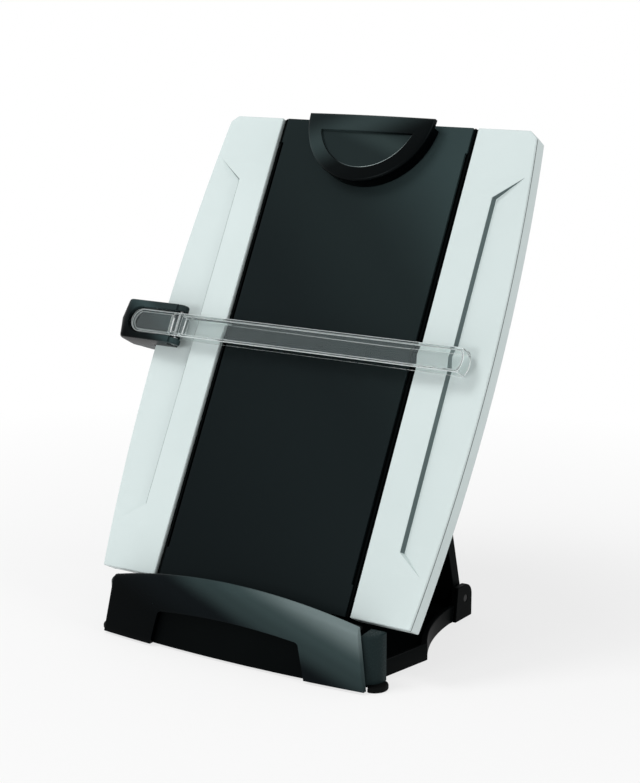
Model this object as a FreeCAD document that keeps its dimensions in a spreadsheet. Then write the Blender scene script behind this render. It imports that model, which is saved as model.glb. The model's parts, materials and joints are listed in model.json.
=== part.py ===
import FreeCAD, Part
import math
import os
import Sketcher

# Copy holder with line guide.
# An easel for a typed page: a leaning board with two pale wings and a dark centre panel stands
# in a low base. A prop leg hinged in the back of the base carries the board at the chosen lean,
# a sprung clip holds the page at the top, and a clear bar on a slider marks the line being read.
#
# Frame: X across (the reader's right is +X), Y away from the reader, Z up. Z = 0 is the table and
# the origin lies under the board's lower front edge, on the plane of symmetry.
# Board pieces are drawn in the board's own frame: X across, Y from the front face (0) to the
# back, Z up along the board from its lower edge. Leg pieces are drawn about the leg's hinge.

doc = FreeCAD.newDocument("copy_holder")
sheet = doc.addObject("Spreadsheet::Sheet", "Sizes")

# Driving dimensions, millimetres and degrees
SIZES = [
    # board
    ("board_height", 342, "lower edge to upper edge, along the board"),
    ("board_depth", 13.5, "front face to back face"),
    ("lean", 27.9, "board's lean from upright, degrees"),
    ("edge_height", 39.5, "lower front edge above the table"),
    ("wing_inner", 80, "half the distance between the wings"),
    ("wing_mid", 134.7, "half width of the board at mid height"),
    ("wing_bow", 10, "bow of the board's outer edges"),
    ("wing_front", 6.5, "solid front of a wing"),
    ("wing_wall", 2.5, "side walls of a wing"),
    ("corner_cut", 5, "cut at the wing's upper outer corner"),
    ("facet_in", 24.5, "facet's inner edge from the wing's inner edge"),
    ("facet_tip_in", 10.2, "facet's outer tips inside the board's widest line"),
    ("facet_tip", 0.05, "depth of the facet at its tips"),
    ("facet_depth", 4, "depth of the facet at its inner edge"),
    ("facet_low", 48, "lower end of the facet's inner edge"),
    ("facet_high", 49, "upper end of the facet's inner edge below the board's top"),
    ("facet_spread", 15.5, "how far the facet's ends run on towards the tips"),
    ("channel_wide", 4, "channel between a wing and the panel's wide ends"),
    ("panel_notch", 1.5, "how much narrower the panel is between its ends"),
    ("panel_low", 21.5, "lower end of the narrow stretch"),
    ("panel_high", 18.5, "upper end of the narrow stretch below the board's top"),
    ("panel_sink", 0.5, "panel's front below the wings' front"),
    ("shell_thick", 2.5, "thickness of the back shell"),
    ("shell_rib", 2, "thickness of the back shell's ribs"),
    ("shell_rib_out", 40, "outer long ribs of the back shell from the centre"),
    ("channel_sink", 3, "floor of the channel beside the panel, and seat of the panel"),
    ("channel_under", 2, "channel's reach under the panel's narrow stretch"),
    ("bead_gap", 0.6, "channel's bead beyond the panel's ends"),
    ("bead_wide", 1.2, "width of the channel's bead"),
    ("bead_sink", 1.4, "bead's top below the wings' front"),
    ("fit_gap", 0.2, "clearance between fixed pieces"),
    ("side_gap", 0.3, "side clearance of moving pieces"),
    ("run_gap", 0.05, "radial clearance of a running fit"),
    ("cut_over", 1, "how far a cut runs past the face it opens"),
    ("root_depth", 0.5, "how far a rib runs into what carries it"),
    ("seat_gap", 0.02, "radial clearance of a fixed pin"),
    # tilt hinge between base and board
    ("pivot_depth", 7, "tilt axis behind the board's front"),
    ("pivot_drop", 7, "tilt axis below the board's lower edge"),
    ("tilt_pin_radius", 2.5, "tilt pins"),
    ("knuckle_radius", 5.5, "round ends of the hinge knuckles"),
    ("knuckle_width", 10, "width of a knuckle on the board"),
    ("knuckle_out", 62, "middle of a knuckle from the centre"),
    ("bracket_thick", 4, "each bracket wall beside a knuckle"),
    # prop leg
    ("leg_back", 141, "leg hinge behind the board's lower front edge"),
    ("leg_rise", 14.5, "leg hinge above the table"),
    ("leg_length", 167, "leg hinge to the cross bar"),
    ("leg_web", 3, "thickness of the leg's web"),
    ("leg_flange", 9, "depth of the leg's side flanges"),
    ("leg_top_drop", 9, "leg plate's top below the cross bar"),
    ("leg_rib_out", 36, "leg's long ribs from the centre"),
    ("leg_stay_drop", 75, "leg's cross rib below the cross bar"),
    ("leg_ear_wide", 12, "width of the leg's ears for the cross bar"),
    ("leg_ear_wall", 2.6, "ear wall round the cross bar"),
    ("rail_room", 3, "room beside a rail in the leg's notch"),
    ("rail_notch", 36, "foot of the leg's notches below the cross bar"),
    ("leg_foot", 5.5, "radius of the leg's hinge barrel"),
    ("leg_rod_radius", 2.5, "hinge rod in the base's ears"),
    ("cross_radius", 3, "cross bar at the top of the leg"),
    ("cross_standoff", 8, "cross bar behind the board's back"),
    ("slot_shift", 0.55, "slot's middle nearer the board than the cross bar at rest"),
    ("slot_play", 1, "room on each side of the cross bar in the slot"),
    ("rail_offset", 58, "middle of a slotted rail from the centre"),
    ("rail_thick", 4, "thickness of a slotted rail"),
    ("rail_height", 15, "rail's height behind the board"),
    ("slot_below", 24, "slot below the cross bar's rest"),
    ("slot_above", 42, "slot above the cross bar's rest"),
    ("rail_wall", 9, "rail beyond each end of the slot"),
    ("notch_count", 4, "rest notches along a slot"),
    ("notch_pitch", 14, "distance between rest notches"),
    ("notch_first", 10, "first rest notch above the slot's lower end"),
    ("notch_bite", 0.9, "how far a rest notch is cut into the slot's edge"),
    ("rail_lead", 12, "run-out of a rail's ends along the board"),
    # page clip
    ("clip_half", 51, "half width of the clip"),
    ("clip_over", 1, "clip's top edge above the board's top"),
    ("clip_high", 49.6, "height of the clip"),
    ("clip_front", 12, "clip's front before the wings' front"),
    ("clip_wall", 2.5, "walls of the clip"),
    ("clip_axis_drop", 7, "clip's hinge below its top edge"),
    ("clip_bevel", 2, "bevelled front rim of the clip"),
    ("clip_axis_front", 5, "clip's hinge before the wings' front"),
    ("clip_pin_radius", 1.5, "clip's hinge pin"),
    ("clip_ear_radius", 3.2, "round ends of the clip's ears"),
    ("clip_ear_out", 21, "middle of a mount ear from the centre"),
    ("clip_ear_thick", 6, "thickness of a mount ear"),
    ("clip_lug_thick", 4, "thickness of a lug in the clip"),
    ("dish_half", 37.2, "half width of the finger dish"),
    ("dish_drop", 12.5, "dish's top below the clip's top edge"),
    ("dish_high", 26.5, "height of the finger dish"),
    ("dish_depth", 3, "depth of the finger dish"),
    ("clip_foot", 1.2, "foot plate of the clip's mount"),
    ("clip_foot_margin", 2, "foot plate's reach below the ears"),
    ("clip_pad_low", 11, "half width of the clip's pad at its foot"),
    ("clip_pad_high", 14, "half width of the clip's pad at its top"),
    ("clip_pad_up", 6, "height of the clip's pad"),
    ("clip_pad_rise", 2, "pad above the clip's inner rim"),
    ("spring_wire", 0.8, "wire of the clip's spring"),
    ("spring_turns", 3, "turns of the clip's spring"),
    ("wire_sides", 4, "sides of a spring wire's section"),
    # line guide
    ("guide_low", 162, "lower end of the slider, along the board"),
    ("guide_tall", 28.8, "height of the slider"),
    ("guide_front", 14, "slider's front before the wings' front"),
    ("guide_lap", 20, "slider's reach over the board from its edge"),
    ("guide_past", 24.8, "slider's outer corners beyond the board's edge"),
    ("guide_bulge", 3.2, "bulge of the slider's outer end"),
    ("guide_split", 3, "joint of the slider's halves behind the wings' front"),
    ("guide_back", 18, "slider's back behind the wings' front"),
    ("grip_lap", 16.7, "slider's reach behind the board from its edge"),
    ("guide_gap", 0.4, "room between slider and board faces"),
    ("guide_edge_gap", 1.5, "room between slider and the board's edge"),
    ("guide_floor", 2, "slider's wall over the board"),
    ("guide_round", 5, "rounded front corner of the slider"),
    ("guide_bevel", 1.5, "bevelled upper and lower edges of the slider"),
    ("guide_crest", 9, "depth behind the wings' front where the slider is fullest"),
    ("guide_crest_in", 8, "slider's back shoulder inside its outer end"),
    ("guide_grip_round", 1, "rounded lip of the slider's back"),
    ("shoe_margin", 3, "shoe inside the slider's ends"),
    ("shoe_thick", 1.6, "friction shoe inside the slider"),
    ("thumb_wall", 1.5, "room round the thumb tab in its recess"),
    ("hinge_in", 1.3, "bar hinge inside the slider's inner end"),
    ("hinge_front", 8, "bar hinge before the wings' front"),
    ("hinge_pin_radius", 1.25, "bar hinge pin"),
    ("hinge_ear_radius", 4.6, "round ears of the bar hinge"),
    ("hinge_barrel", 4.2, "barrel of the bar"),
    ("bar_inset", 5.7, "lower edge of the bar above the slider's lower end"),
    ("bar_tall", 17, "height of the bar"),
    ("bar_front", 12, "bar's front before the wings' front"),
    ("bar_lift", 1, "bar's flanges before the wings' front"),
    ("bar_wall", 1.8, "walls of the bar"),
    ("bar_start", 1.5, "bar's channel begins this far inside its hinge"),
    ("bar_end_in", 17, "right end of the bar inside the board's edge"),
    ("bar_bulge", 2.4, "curve of the bar's right end"),
    ("tab_in", 6.5, "thumb tab's outer end inside the slider's corners"),
    ("tab_depth", 3.6, "depth of the thumb tab"),
    ("coil_room", 4.1, "room for the coil on the bar's hinge pin"),
    ("bar_spring_wire", 0.6, "wire of the bar's spring"),
    ("bar_spring_turns", 2, "turns of the bar's spring"),
    # base
    ("fascia_past", 0.6, "fascia's lower ends beyond the middle of the posts"),
    ("fascia_draw", 7, "fascia's ends drawn in at the top"),
    ("fascia_low", 1.6, "fascia's lower edge above the table"),
    ("fascia_lip", 4.4, "fascia's upper corners above the page shelf"),
    ("fascia_rise", 12, "arch of the fascia's upper edge"),
    ("fascia_front", 29.9, "fascia's middle before the board's edge, at the table"),
    ("fascia_bow", 5.9, "bow of the fascia over its width"),
    ("fascia_rake", 6.0, "fascia's lean, degrees"),
    ("fascia_thick", 3.5, "thickness of the fascia"),
    ("fascia_bevel", 1.5, "bevelled upper edge of the fascia"),
    ("window_low_half", 62.6, "half width of the fascia's window at the bottom"),
    ("window_draw", 5.1, "window's sides drawn in at the top"),
    ("window_side", 25.6, "height of the window at its sides"),
    ("window_rise", 3.3, "arch of the window's upper edge"),
    ("window_round", 4, "rounded corners of the window"),
    ("recess_thick", 2.5, "thickness of the wall behind the window"),
    ("recess_drop", 1, "wall behind the window below the shelf"),
    ("recess_margin", 8, "wall's reach beyond the window's sides"),
    ("shelf_in", 4, "page shelf inside the base's front corners"),
    ("shelf_drop", 1.9, "top of the page shelf below the board's front edge"),
    ("shelf_thick", 2.6, "thickness of the page shelf"),
    ("shelf_back", 3.2, "shelf's back edge before the board's edge"),
    ("tray_floor", 3, "floor of the base"),
    ("tray_wall", 3, "walls of the base"),
    ("tray_web_out", 40, "inner webs behind the front wall, from the centre"),
    ("nose_rib_in", 50, "inner ribs that back the fascia, from the centre"),
    ("nose_rib_end", 8, "outer ribs that back the fascia, inside the shelf's ends"),
    ("nose_rib_drop", 5, "ribs that back the fascia, below the shelf"),
    ("bracket_front", 6, "bracket's foot before the knuckle"),
    ("bracket_back", 8, "bracket's foot behind the knuckle"),
    ("tray_flare", 14, "straight side behind the waist"),
    ("tray_step", 5, "run of the step out to the ears"),
    ("tray_side", 11.7, "height of the base's sides"),
    ("tray_front", 15.5, "front wall before the board's edge"),
    ("tray_front_half", 96, "half width of the base at the front"),
    ("tray_hip_out", 11.5, "hip beyond the base's front corners"),
    ("tray_hip", 53, "hip behind the board's edge"),
    ("tray_waist_half", 84.3, "half width of the base at the waist"),
    ("tray_waist_ahead", 16.4, "waist ahead of the leg's hinge"),
    ("tray_waist_radius", 155, "hollow side between hip and waist"),
    ("tray_end_out", 2.7, "ears' outer faces beyond the waist"),
    ("tray_end_behind", 9, "back of the base behind the leg's hinge"),
    ("ear_ahead", 14, "front of the ears ahead of the leg's hinge"),
    ("ear_above", 10, "top of the ears above the leg's hinge"),
    ("ear_thick", 4.5, "thickness of the ears"),
    ("ear_round", 9, "rounded top of the ears"),
    ("ear_slope", 3, "slope of the ears' front edge"),
    ("post_radius", 8, "round corner posts"),
    ("post_past", 9, "middle of a corner post beyond the base's front corner"),
    ("post_front", 10, "middle of a corner post before the board's edge"),
    ("post_drop", 5, "corner posts below the fascia's upper corners"),
    ("post_bevel", 2, "bevelled top of a corner post"),
    ("post_block", 9, "block that carries a corner post"),
    ("post_block_in", 4, "block's root in the base's corner"),
    ("post_block_low", 1.5, "underside of the post's block"),
    ("post_block_drop", 9.5, "top of the post's block below the post's top"),
    ("foot_high", 4, "height of the front feet"),
    ("foot_lip", 1.2, "front feet stand out this far round the posts"),
    ("pad_long", 16, "rubber pads under the back of the base, across"),
    ("pad_deep", 9, "rubber pads, front to back"),
    ("pad_margin", 3, "rubber pads inside the base's edges"),
    ("pad_sink", 1.2, "pads sunk into the base"),
    ("screw_radius", 1.5, "screws"),
    ("screw_head", 2.8, "screw heads, radius"),
    ("screw_head_high", 1.6, "screw heads, height"),
    ("boss_radius", 4, "screw bosses, from their middle to a side"),
    ("base_screw_in", 12, "base screws inside the shelf's ends"),
    ("base_screw_front", 8, "base screws before the board's edge"),
    ("board_screw_in", 12, "board screws from the wings' inner edges"),
    ("board_screw_end", 60, "board screws from the board's ends"),
    ("base_screw_long", 12, "base screws under the head"),
    ("board_screw_bite", 4, "board screws' hold in the wings"),
    ("screw_seat", 0.1, "room over a sunk screw head"),
]


class Size:
    """A number that remembers the sheet formula it comes from, so that both stay in step."""

    def __init__(self, number, formula):
        self.number = float(number)
        self.formula = formula

    def __add__(self, other):
        other = as_size(other)
        return Size(self.number + other.number, f"({self.formula} + {other.formula})")

    def __sub__(self, other):
        other = as_size(other)
        return Size(self.number - other.number, f"({self.formula} - {other.formula})")

    def __mul__(self, other):
        other = as_size(other)
        return Size(self.number * other.number, f"({self.formula} * {other.formula})")

    def __truediv__(self, other):
        other = as_size(other)
        return Size(self.number / other.number, f"({self.formula} / {other.formula})")

    def __neg__(self):
        return Size(-self.number, f"(0 - {self.formula})")

    def __radd__(self, other):
        return as_size(other) + self

    def __rsub__(self, other):
        return as_size(other) - self

    def __rmul__(self, other):
        return as_size(other) * self


def as_size(value):
    return value if isinstance(value, Size) else Size(value, repr(value))


def sine(angle):
    return Size(math.sin(math.radians(angle.number)), f"sin({angle.formula})")


def cosine(angle):
    return Size(math.cos(math.radians(angle.number)), f"cos({angle.formula})")


def tangent(angle):
    return Size(math.tan(math.radians(angle.number)), f"tan({angle.formula})")


def arc_sine(ratio):
    return Size(math.degrees(math.asin(ratio.number)), f"(asin({ratio.formula}) / 1 deg)")


def root(value):
    return Size(math.sqrt(value.number), f"sqrt({value.formula})")


def arc_radius(half_chord, rise):
    """Radius of the arc that stands a rise above a chord."""
    return (half_chord * half_chord + rise * rise) / (2 * rise)


for row, (alias, value, meaning) in enumerate(SIZES, start=1):
    sheet.set(f"A{row}", meaning)
    sheet.set(f"B{row}", str(value))
    sheet.setAlias(f"B{row}", alias)
doc.recompute()


def size(alias):
    return Size(sheet.get(alias), f"Sizes.{alias}")


# Places that several pieces share

def wing_end():
    """Half width of the board at its ends."""
    return size("wing_mid") - size("wing_bow")


def panel_half():
    """Half width of the centre panel at its ends."""
    return size("wing_inner") - size("channel_wide")


def board_screw_out():
    return size("wing_inner") + size("board_screw_in")


def clip_top():
    return size("board_height") + size("clip_over")


def clip_bottom():
    return clip_top() - size("clip_high")


def clip_axis():
    return clip_top() - size("clip_axis_drop")


def guide_high():
    return size("guide_low") + size("guide_tall")


def guide_right():
    """The slider's inner end from the centre."""
    return size("wing_mid") - size("guide_lap")


def guide_left():
    """The slider's outer corners from the centre."""
    return size("wing_mid") + size("guide_past")


def guide_grip():
    return size("wing_mid") - size("grip_lap")


def hinge_out():
    """The bar's hinge from the centre."""
    return guide_right() - size("hinge_in")


def bar_low():
    return size("guide_low") + size("bar_inset")


def bar_high():
    return bar_low() + size("bar_tall")


def shelf_top():
    return size("edge_height") - size("shelf_drop")


def shelf_under():
    return shelf_top() - size("shelf_thick")


def shelf_half():
    return size("tray_front_half") - size("shelf_in")


def fascia_side():
    """Height of the fascia's upper corners."""
    return shelf_top() + size("fascia_lip")


def fascia_crown():
    return fascia_side() + size("fascia_rise")


def post_out():
    """Middle of a corner post from the centre."""
    return size("tray_front_half") + size("post_past")


def post_high():
    return fascia_side() - size("post_drop")


def fascia_low_half():
    return post_out() + size("fascia_past")


def tray_end():
    """Back of the base behind the board's edge."""
    return size("leg_back") + size("tray_end_behind")


def tray_end_half():
    return size("tray_waist_half") + size("tray_end_out")


# Sketches, bodies and features

def origin_plane(body, role):
    for feature in body.Origin.OriginFeatures:
        if feature.Role == role:
            return feature


def tie(sketch, joins, ties):
    """Adds joins as they are, and ties that are (kind, edge, end, value), bound to the sheet."""
    bounds = []
    for kind, edge, end, value in ties:
        if kind == "Radius":
            bounds.append(Sketcher.Constraint(kind, edge, value.number))
        else:
            bounds.append(Sketcher.Constraint(kind, -1, 1, edge, end, value.number))
    first = sketch.ConstraintCount + len(joins)
    sketch.addConstraint(joins + bounds)
    for index, (kind, edge, end, value) in enumerate(ties, start=first):
        name = f"{kind.lower()}_{index}"
        sketch.renameConstraint(index, name)
        sketch.setExpression(f"Constraints.{name}", value.formula)


def arc_between(start, end, radius):
    """The anticlockwise arc through two points that bulges to the side its radius says."""
    middle = (start + end) * 0.5
    half = (end - start).Length / 2
    side = FreeCAD.Vector(end.y - start.y, start.x - end.x, 0).normalize()
    rise = abs(radius) - math.sqrt(max(radius ** 2 - half ** 2, 0))
    crest = middle + side * math.copysign(rise, radius)
    if radius > 0:
        return Part.Arc(start, crest, end)
    return Part.Arc(end, crest, start)


def arc_tie(edge, start, end, corner, radius):
    """What fixes an arc between fixed ends: its radius, or for a half circle its centre."""
    half = (end - start).Length / 2
    if not math.isclose(abs(radius.number), half, rel_tol=1e-6):
        return "Radius", edge, 0, radius if radius.number > 0 else -radius
    if abs(end.x - start.x) < abs(end.y - start.y):
        return "DistanceX", edge, 3, as_size(corner[0])
    return "DistanceY", edge, 3, as_size(corner[1])


def draw_outline(sketch, corners):
    """Draws a closed outline.

    Each corner is (x, y), or (x, y, radius) where the edge to the next corner is an arc: a
    positive radius bulges to the right of the walk, a negative one to the left.
    """
    points = []
    for corner in corners:
        points.append(FreeCAD.Vector(as_size(corner[0]).number, as_size(corner[1]).number, 0))
    edges = []
    starts = []
    ties = []
    for index, corner in enumerate(corners):
        start = points[index]
        end = points[(index + 1) % len(points)]
        near = 1
        if len(corner) == 3:
            radius = as_size(corner[2])
            near = 1 if radius.number > 0 else 2
            edge = sketch.addGeometry(arc_between(start, end, radius.number), False)
            ties.append(arc_tie(edge, start, end, corner, radius))
        else:
            edge = sketch.addGeometry(Part.LineSegment(start, end), False)
        edges.append(edge)
        starts.append(near)
        ties.append(("DistanceX", edge, near, as_size(corner[0])))
        ties.append(("DistanceY", edge, near, as_size(corner[1])))
    joins = []
    for index, edge in enumerate(edges):
        after = (index + 1) % len(edges)
        joins.append(Sketcher.Constraint(
            "Coincident", edge, 3 - starts[index], edges[after], starts[after]))
    tie(sketch, joins, ties)


def draw_circle(sketch, across, up, radius):
    across, up, radius = as_size(across), as_size(up), as_size(radius)
    centre = FreeCAD.Vector(across.number, up.number, 0)
    edge = sketch.addGeometry(Part.Circle(centre, FreeCAD.Vector(0, 0, 1), radius.number), False)
    tie(sketch, [], [
        ("DistanceX", edge, 3, across), ("DistanceY", edge, 3, up), ("Radius", edge, 0, radius)])


def new_body(label):
    body = doc.addObject("PartDesign::Body", label)
    body.Label = label
    return body


def sketch_on(body, role, offset, outlines=(), circles=()):
    """A sketch on one of the body's own planes, moved along the plane's normal by offset."""
    sketch = body.newObject("Sketcher::SketchObject", f"{body.Label}_sketch")
    sketch.AttachmentSupport = [(origin_plane(body, role), "")]
    sketch.MapMode = "FlatFace"
    offset = as_size(offset)
    sketch.AttachmentOffset.Base.z = offset.number
    sketch.setExpression("AttachmentOffset.Base.z", offset.formula)
    for corners in outlines:
        draw_outline(sketch, corners)
    for across, up, radius in circles:
        draw_circle(sketch, across, up, radius)
    return sketch


def feature_on(body, kind, sketch, length, reverse, through, both):
    feature = body.newObject(f"PartDesign::{kind}", f"{body.Label}_{kind.lower()}")
    feature.Profile = sketch
    if through:
        feature.Type = 1
    else:
        feature.setExpression("Length", as_size(length).formula)
    if both:
        feature.Midplane = True
    feature.Reversed = reverse
    sketch.Visibility = False
    doc.recompute()
    return feature


def pad(body, sketch, length, reverse=False, both=False):
    return feature_on(body, "Pad", sketch, length, reverse, False, both)


def pocket(body, sketch, length=0, reverse=False, through=False, both=False):
    before = body.Shape.Volume
    feature = feature_on(body, "Pocket", sketch, length, reverse, through, both)
    if body.Shape.Volume >= before - 1e-3:
        raise RuntimeError(f"{feature.Label} cuts nothing from {body.Label}")
    return feature


def slab(body, front, depth, outlines, circles=()):
    """A plate seen from the front: from y = front back to y = front + depth."""
    sketch = sketch_on(body, "XZ_Plane", -as_size(front), outlines, circles)
    return pad(body, sketch, depth, reverse=True)


def sink(body, front, depth, outlines, circles=()):
    """A recess cut from y = front towards the back."""
    sketch = sketch_on(body, "XZ_Plane", -as_size(front), outlines, circles)
    return pocket(body, sketch, depth)


def hollow(body, back, depth, outlines, circles=()):
    """A recess cut from y = back towards the front."""
    sketch = sketch_on(body, "XZ_Plane", -as_size(back), outlines, circles)
    return pocket(body, sketch, depth, reverse=True)


def layer(body, low, height, outlines, circles=()):
    """A plate seen from above: from z = low up by height."""
    return pad(body, sketch_on(body, "XY_Plane", low, outlines, circles), height)


def well(body, top, depth, outlines, circles=()):
    """A hole cut downwards from z = top."""
    return pocket(body, sketch_on(body, "XY_Plane", top, outlines, circles), depth)


def rib(body, near, thick, outlines, circles=()):
    """A plate seen from the side: from x = near outwards by thick."""
    return pad(body, sketch_on(body, "YZ_Plane", near, outlines, circles), thick)


def bore_across(body, near, thick, depth_at, up_at, radius):
    """A round hole along X, cut from x = near + thick back to x = near."""
    sketch = sketch_on(body, "YZ_Plane", near + thick, (), [(depth_at, up_at, radius)])
    return pocket(body, sketch, thick)


def mirror(body, originals):
    """Repeats features on the other side of the plane of symmetry."""
    feature = body.newObject("PartDesign::Mirrored", f"{body.Label}_mirror")
    feature.Originals = originals
    feature.MirrorPlane = (origin_plane(body, "YZ_Plane"), [""])
    body.Tip = feature
    doc.recompute()
    return feature


def box_outline(left, right, low, high):
    return [(left, low), (right, low), (right, high), (left, high)]


def lies_at(edge, axis, level):
    """Whether an edge lies wholly in the plane where one coordinate has a level."""
    values = [getattr(point, axis) for point in edge.discretize(3)]
    return max(abs(value - as_size(level).number) for value in values) < 1e-3


def is_curved(edge):
    return not isinstance(edge.Curve, Part.Line)


def bevel_edges(body, width, chosen):
    """Bevels the edges of the tip that the test picks."""
    base = body.Tip
    names = []
    for number, edge in enumerate(base.Shape.Edges, start=1):
        if chosen(edge):
            names.append(f"Edge{number}")
    if not names:
        raise RuntimeError(f"no edge to bevel on {body.Label}")
    feature = body.newObject("PartDesign::Chamfer", f"{body.Label}_bevel")
    feature.Base = (base, names)
    feature.setExpression("Size", width.formula)
    doc.recompute()
    return feature


# Placements of the three frames

def place(piece, shift, turn):
    """Turns a piece about X by an angle and lifts it to (0, y, z), all tied to the sheet."""
    y, z = as_size(shift[0]), as_size(shift[1])
    turn = as_size(turn)
    piece.setExpression(
        "Placement",
        f"placement(vector(0; {y.formula}; {z.formula}); "
        f"rotation(vector(1; 0; 0); {turn.formula}))",
    )
    pieces.append(piece)
    return piece


pieces = []


def on_base(piece):
    pieces.append(piece)
    return piece


def on_board(piece):
    return place(piece, (0, size("edge_height")), -size("lean"))


def leg_angle():
    """Lean of the leg at which its cross bar stands off the board's back by the given distance."""
    return arc_sine(leg_reach() / size("leg_length")) - size("lean")


def on_leg(piece):
    return place(piece, (size("leg_back"), size("leg_rise")), leg_angle())


def pivot_in_base():
    """Tilt axis in the base's frame, as (y, z)."""
    lean = size("lean")
    depth, drop = size("pivot_depth"), size("pivot_drop")
    y = depth * cosine(lean) - drop * sine(lean)
    z = size("edge_height") - drop * cosine(lean) - depth * sine(lean)
    return y, z


# Wings

def wing_edge_radius():
    return arc_radius(size("board_height") / 2, size("wing_bow"))


def make_wing(label, side):
    """One pale wing: straight inner edge, long bowed outer edge, hollow behind."""
    body = new_body(label)
    height, cut = size("board_height"), size("corner_cut")
    inner, end = size("wing_inner") * side, wing_end() * side
    bow = wing_edge_radius() * side
    corner_x = (wing_end() - cut) * side
    drop_off = (height / 2 - cut) * (height / 2 - cut) / (2 * wing_edge_radius())
    shoulder_x = (size("wing_mid") - drop_off) * side
    slab(body, 0, size("board_depth"), [[
        (inner, 0), (end, 0, bow), (shoulder_x, height - cut), (corner_x, height), (inner, height)]])
    wall = size("wing_wall")
    well_inner = inner + wall * side
    well_end = end - wall * side
    hollow(body, size("board_depth"), size("board_depth") - size("wing_front"), [[
        (well_inner, wall), (well_end, wall, bow), (well_end, height - wall - cut),
        (corner_x - wall * side, height - wall), (well_inner, height - wall)]])
    screw_x, reach = board_screw_out() * side, size("boss_radius")
    bosses = [box_outline(screw_x - reach, screw_x + reach, up - reach, up + reach)
              for up in screw_heights()]
    shelf_y = size("board_depth") - size("shell_thick") - size("fit_gap")
    root_at = size("wing_front") - size("root_depth")
    slab(body, root_at, shelf_y - root_at, bosses)
    rim = size("shell_thick") + size("fit_gap")
    open_x = inner - size("cut_over") * side
    hollow(body, size("board_depth"), rim, [[
        (open_x, wall), (well_inner, wall), (well_inner, height - wall),
        (open_x, height - wall)]])
    bores = [(screw_x, up, size("screw_radius") + size("seat_gap")) for up in screw_heights()]
    hollow(body, shelf_y, shelf_y - size("wing_front") / 2, [], bores)
    cut_facet(body, side)
    return on_board(body)


def screw_heights():
    height, margin = size("board_height"), size("board_screw_end")
    return [margin, height - margin]


def facet_section(body, side, up, inner, depth):
    """Cross section of the facet at a height: deep at its inner edge, flush at the wing's edge."""
    rise = (up - size("board_height") / 2) * (up - size("board_height") / 2)
    edge = size("wing_mid") - rise / (2 * wing_edge_radius())
    over = size("cut_over")
    beyond = -over * depth / (edge - inner)
    return sketch_on(body, "XY_Plane", up, [[
        (inner * side, depth), ((edge + over) * side, beyond), ((edge + over) * side, -over),
        (inner * side, -over)]])


def cut_facet(body, side):
    """The long sunk facet: its floor runs out at the wing's edge and its ends taper to points."""
    inner, depth = size("wing_inner") + size("facet_in"), size("facet_depth")
    tip, tip_depth = size("wing_mid") - size("facet_tip_in"), size("facet_tip")
    spread = size("facet_spread")
    low, high = size("facet_low"), size("board_height") - size("facet_high")
    sections = [facet_section(body, side, low - spread, tip, tip_depth)]
    stations = 5
    for station in range(stations):
        up = low + (high - low) * (station / (stations - 1))
        sections.append(facet_section(body, side, up, inner, depth))
    sections.append(facet_section(body, side, high + spread, tip, tip_depth))
    before = body.Shape.Volume
    loft = body.newObject("PartDesign::SubtractiveLoft", f"{body.Label}_facet")
    loft.Profile = sections[0]
    loft.Sections = sections[1:]
    loft.Ruled = True
    doc.recompute()
    middle = (inner + size("wing_mid")) / 2
    probe = FreeCAD.Vector((middle * side).number, (tip_depth * 2).number, (low + high).number / 2)
    if body.Shape.Volume >= before or body.Shape.isInside(probe, 1e-3, True):
        raise RuntimeError(f"the facet is missing from {body.Label}")


def make_centre_panel():
    body = new_body("centre_panel")
    half, narrow = panel_half(), panel_half() - size("panel_notch")
    low, height = size("panel_low"), size("board_height")
    high = height - size("panel_high")
    slab(body, size("panel_sink"), size("channel_sink") - size("panel_sink"), [[
        (-half, 0), (half, 0), (half, low), (narrow, low), (narrow, high), (half, high),
        (half, height), (-half, height), (-half, high), (-narrow, high), (-narrow, low),
        (-half, low)]])
    return on_board(body)


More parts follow.
